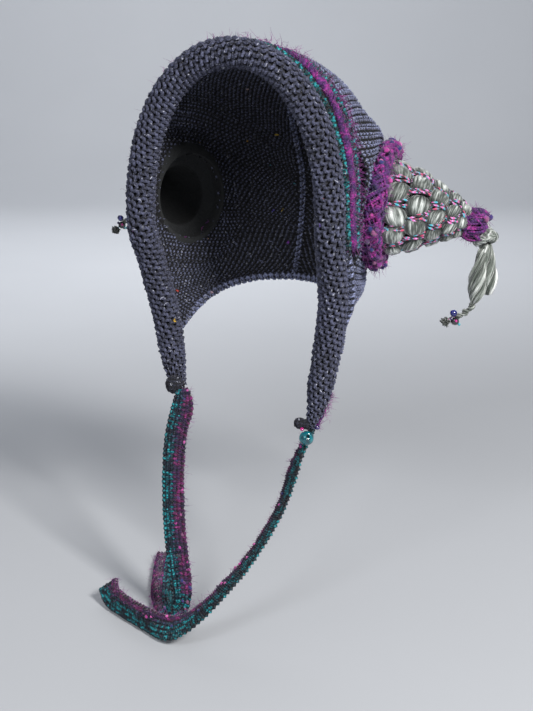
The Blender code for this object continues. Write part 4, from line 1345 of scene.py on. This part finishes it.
TIE_RIGHT = [
    (-49.3, -11.1, -259.9, 0.75, 0.6, 0.1, 10),
    (-47.2, -12.8, -264.2, 0.86, 0.48, 0.1, 16),
    (-45.9, -15.5, -271.5, 0.89, 0.45, 0, 19.5),
    (-48.6, -20.5, -291.5, 0.89, 0.45, 0, 20),
    (-49.2, -26, -324.1, 0.89, 0.45, 0, 20),
    (-46.4, -31.5, -347.7, 0.89, 0.45, 0, 20),
    (-41.5, -38, -370.5, 0.89, 0.45, 0, 20),
    (-35, -45, -392.7, 0.89, 0.45, 0, 20),
    (-29, -50.5, -410.5, 0.91, 0.4, 0, 20),
    (-26.4, -54, -419.6, 0.98, 0.19, -0.08, 19),
    (-26.5, -57.7, -427, 0.93, -0.08, -0.36, 18),
    (-32.5, -60.5, -431.5, 0.47, -0.56, -0.68, 17),
    (-44.5, -53.1, -433, -0.28, -0.83, -0.49, 17),
    (-58, -37.2, -436, -0.73, -0.68, -0.08, 19),
    (-70.4, -17.6, -437.4, -0.89, -0.45, 0, 20),
    (-83.1, 4.6, -437.8, -0.89, -0.45, 0, 20),
    (-96.3, 29.4, -437.8, -0.89, -0.45, 0, 20),
    (-107.3, 51.6, -437.8, -0.89, -0.45, 0, 20),
]
TIE_STITCH_MM = 3.7
TIE_ROWS = {                   # the yarn of each course
    "left": ("teal", "teal", "teal", "mixed", "mohair"),
    "right": ("teal", "teal", "mixed", "mohair", "mohair"),
    "fold": ("teal", "teal", "teal", "teal", "teal"),
}
TIE_COURSES = 5
TIE_FOLD = {"left": (0, 0), "right": (45, 54)}         # stitches that show the all teal face
TIE_GROUND_MM = 1.4
TIE_STEPS = 160
TIE_CREASE = 0.06              # share of its width that the right tie's crease takes up on each side
TIE_YARNS = {"teal": 1.35, "mixed": 1.35, "mohair": 1.95}      # radius
TIE_SECTION = 12               # points round the ground band


def tie_frame(rows, count):
    """The centre line with its widths, and the unit ways across the tie and off it."""
    path = curve_through(rows, count)
    heading = unit(np.gradient(path[:, :3], axis=0))
    wide = unit(path[:, 3:6] - np.sum(path[:, 3:6] * heading, axis=1, keepdims=True) * heading)
    return path, wide, np.cross(heading, wide)


def tie_band(path, wide, normals):
    """A rounded flat section carried along the centre line, closed at both ends."""
    turn = np.arange(TIE_SECTION) * TURN / TIE_SECTION
    section = (np.sign(np.cos(turn)) * np.abs(np.cos(turn)) ** 0.5)[None, :, None]
    through = (np.sin(turn) * TIE_GROUND_MM / 2)[None, :, None]
    half = (path[:, 6] / 2 - 0.9)[:, None, None]
    band = path[:, None, :3] + half * section * wide[:, None] + through * normals[:, None]
    middle = np.broadcast_to(band.mean(1, keepdims=True), band.shape)
    band = np.concatenate([middle[:1], band, middle[-1:]])
    return band, grid_quads(len(band), TIE_SECTION, 1, True, (0, 3, 2, 1))


teal_mix = patchy("teal_and_mohair", "teal_yarn", [
    (0, (0.004, 0.005, 0.014)), (0.36, (0.012, 0.01, 0.04)), (0.48, (0.01, 0.07, 0.1)),
    (0.58, (0.09, 0.014, 0.13)), (0.72, (0.02, 0.19, 0.24)), (0.85, (0.12, 0.012, 0.11))],
    260, glint=0.12, rough=0.6, sheen=0.08)
tie_teal = patchy("tie_teal", "teal_yarn", [
    (0, (0.004, 0.004, 0.012)), (0.38, (0.008, 0.008, 0.03)), (0.48, (0.003, 0.06, 0.085)),
    (0.58, (0.004, 0.18, 0.22)), (0.68, (0.015, 0.5, 0.57)), (0.78, (0.004, 0.08, 0.12)),
    (0.9, (0.1, 0.015, 0.07))], 260, glint=0.12, rough=0.5, sheen=0.06)
tie_mohair = patchy("tie_mohair", "mohair_ribbon", [
    (0, (0.004, 0.003, 0.016)), (0.34, (0.022, 0.009, 0.06)), (0.48, (0.065, 0.01, 0.1)),
    (0.62, (0.11, 0.008, 0.07)), (0.74, (0.4, 0.03, 0.26)), (0.84, (0.08, 0.01, 0.09)),
    (1, (0.006, 0.02, 0.04))], 200, rough=0.7, sheen=0.3)
# dark band under the tie's loops: painted shade in their gaps
tie_shade_ground = ground("tie_shade_ground", "teal_yarn", (0.008, 0.012, 0.02))
for side, rows, seed in (("left", TIE_LEFT, 91), ("right", TIE_RIGHT, 92)):
    path, wide, off = tie_frame(rows, TIE_STEPS)
    if side == "right":
        path[:, :3] -= wide * path[:, 6:7] * TIE_CREASE
        path[:, 6] *= 1 - 2 * TIE_CREASE
    ground_band = mesh_piece("tie_shade_ground_" + side, *tie_band(path, wide, off), tie_shade_ground,
                             ["tie_" + side])
    share = np.linspace(-0.5, 0.5, 11)[None, :, None]
    points = path[:, None, :3] + share * (path[:, None, 6:7] - 2.4) * wide[:, None]
    skin = Skin(points, np.broadcast_to(off[:, None], points.shape))
    stitches = round(length_of(path) / TIE_STITCH_MM)
    parts = []
    i, j = stitch_grid(range(stitches), range(TIE_COURSES))
    folded = (i >= TIE_FOLD[side][0]) & (i < TIE_FOLD[side][1])
    kinds = np.where(folded, np.array(TIE_ROWS["fold"])[j], np.array(TIE_ROWS[side])[j])
    for name, finish in (("teal", tie_teal), ("mixed", teal_mix), ("mohair", tie_mohair)):
        chosen = i[kinds == name], j[kinds == name]
        lines, ways, high = loops(skin, stitches, TIE_COURSES, chosen, "garter", 0.9, seed, height=0.62)
        rng = np.random.default_rng(seed + len(parts))
        thick = TIE_YARNS[name] * (0.85 + 0.3 * rng.random((len(lines), 1)))
        # painted shade: the garter's low loops darken towards black in the finishes
        parts.append(yarn_piece(f"tie_{name}_{side}", lines, ways, thick, 4, finish, (), seed, 2, True,
                                0.2 + 0.7 * high))
    edge = skin.points[:, 8:]
    way = np.broadcast_to(wide[:, None], edge.shape)
    parts.append(hairs("tie_hairs_" + side, edge.reshape(-1, 3), way.reshape(-1, 3), 1000, (2.5, 8.5),
                       seed + 3))
    spots = skin.points[:, 6:].reshape(-1, 3)
    face = np.sign(rng.random((len(spots), 1)) - 0.5)
    parts.append(slubs("tie_slubs_" + side, spots, skin.normals[:, 6:].reshape(-1, 3) * face, 60, 1.3, 1.5,
                       seed + 4))
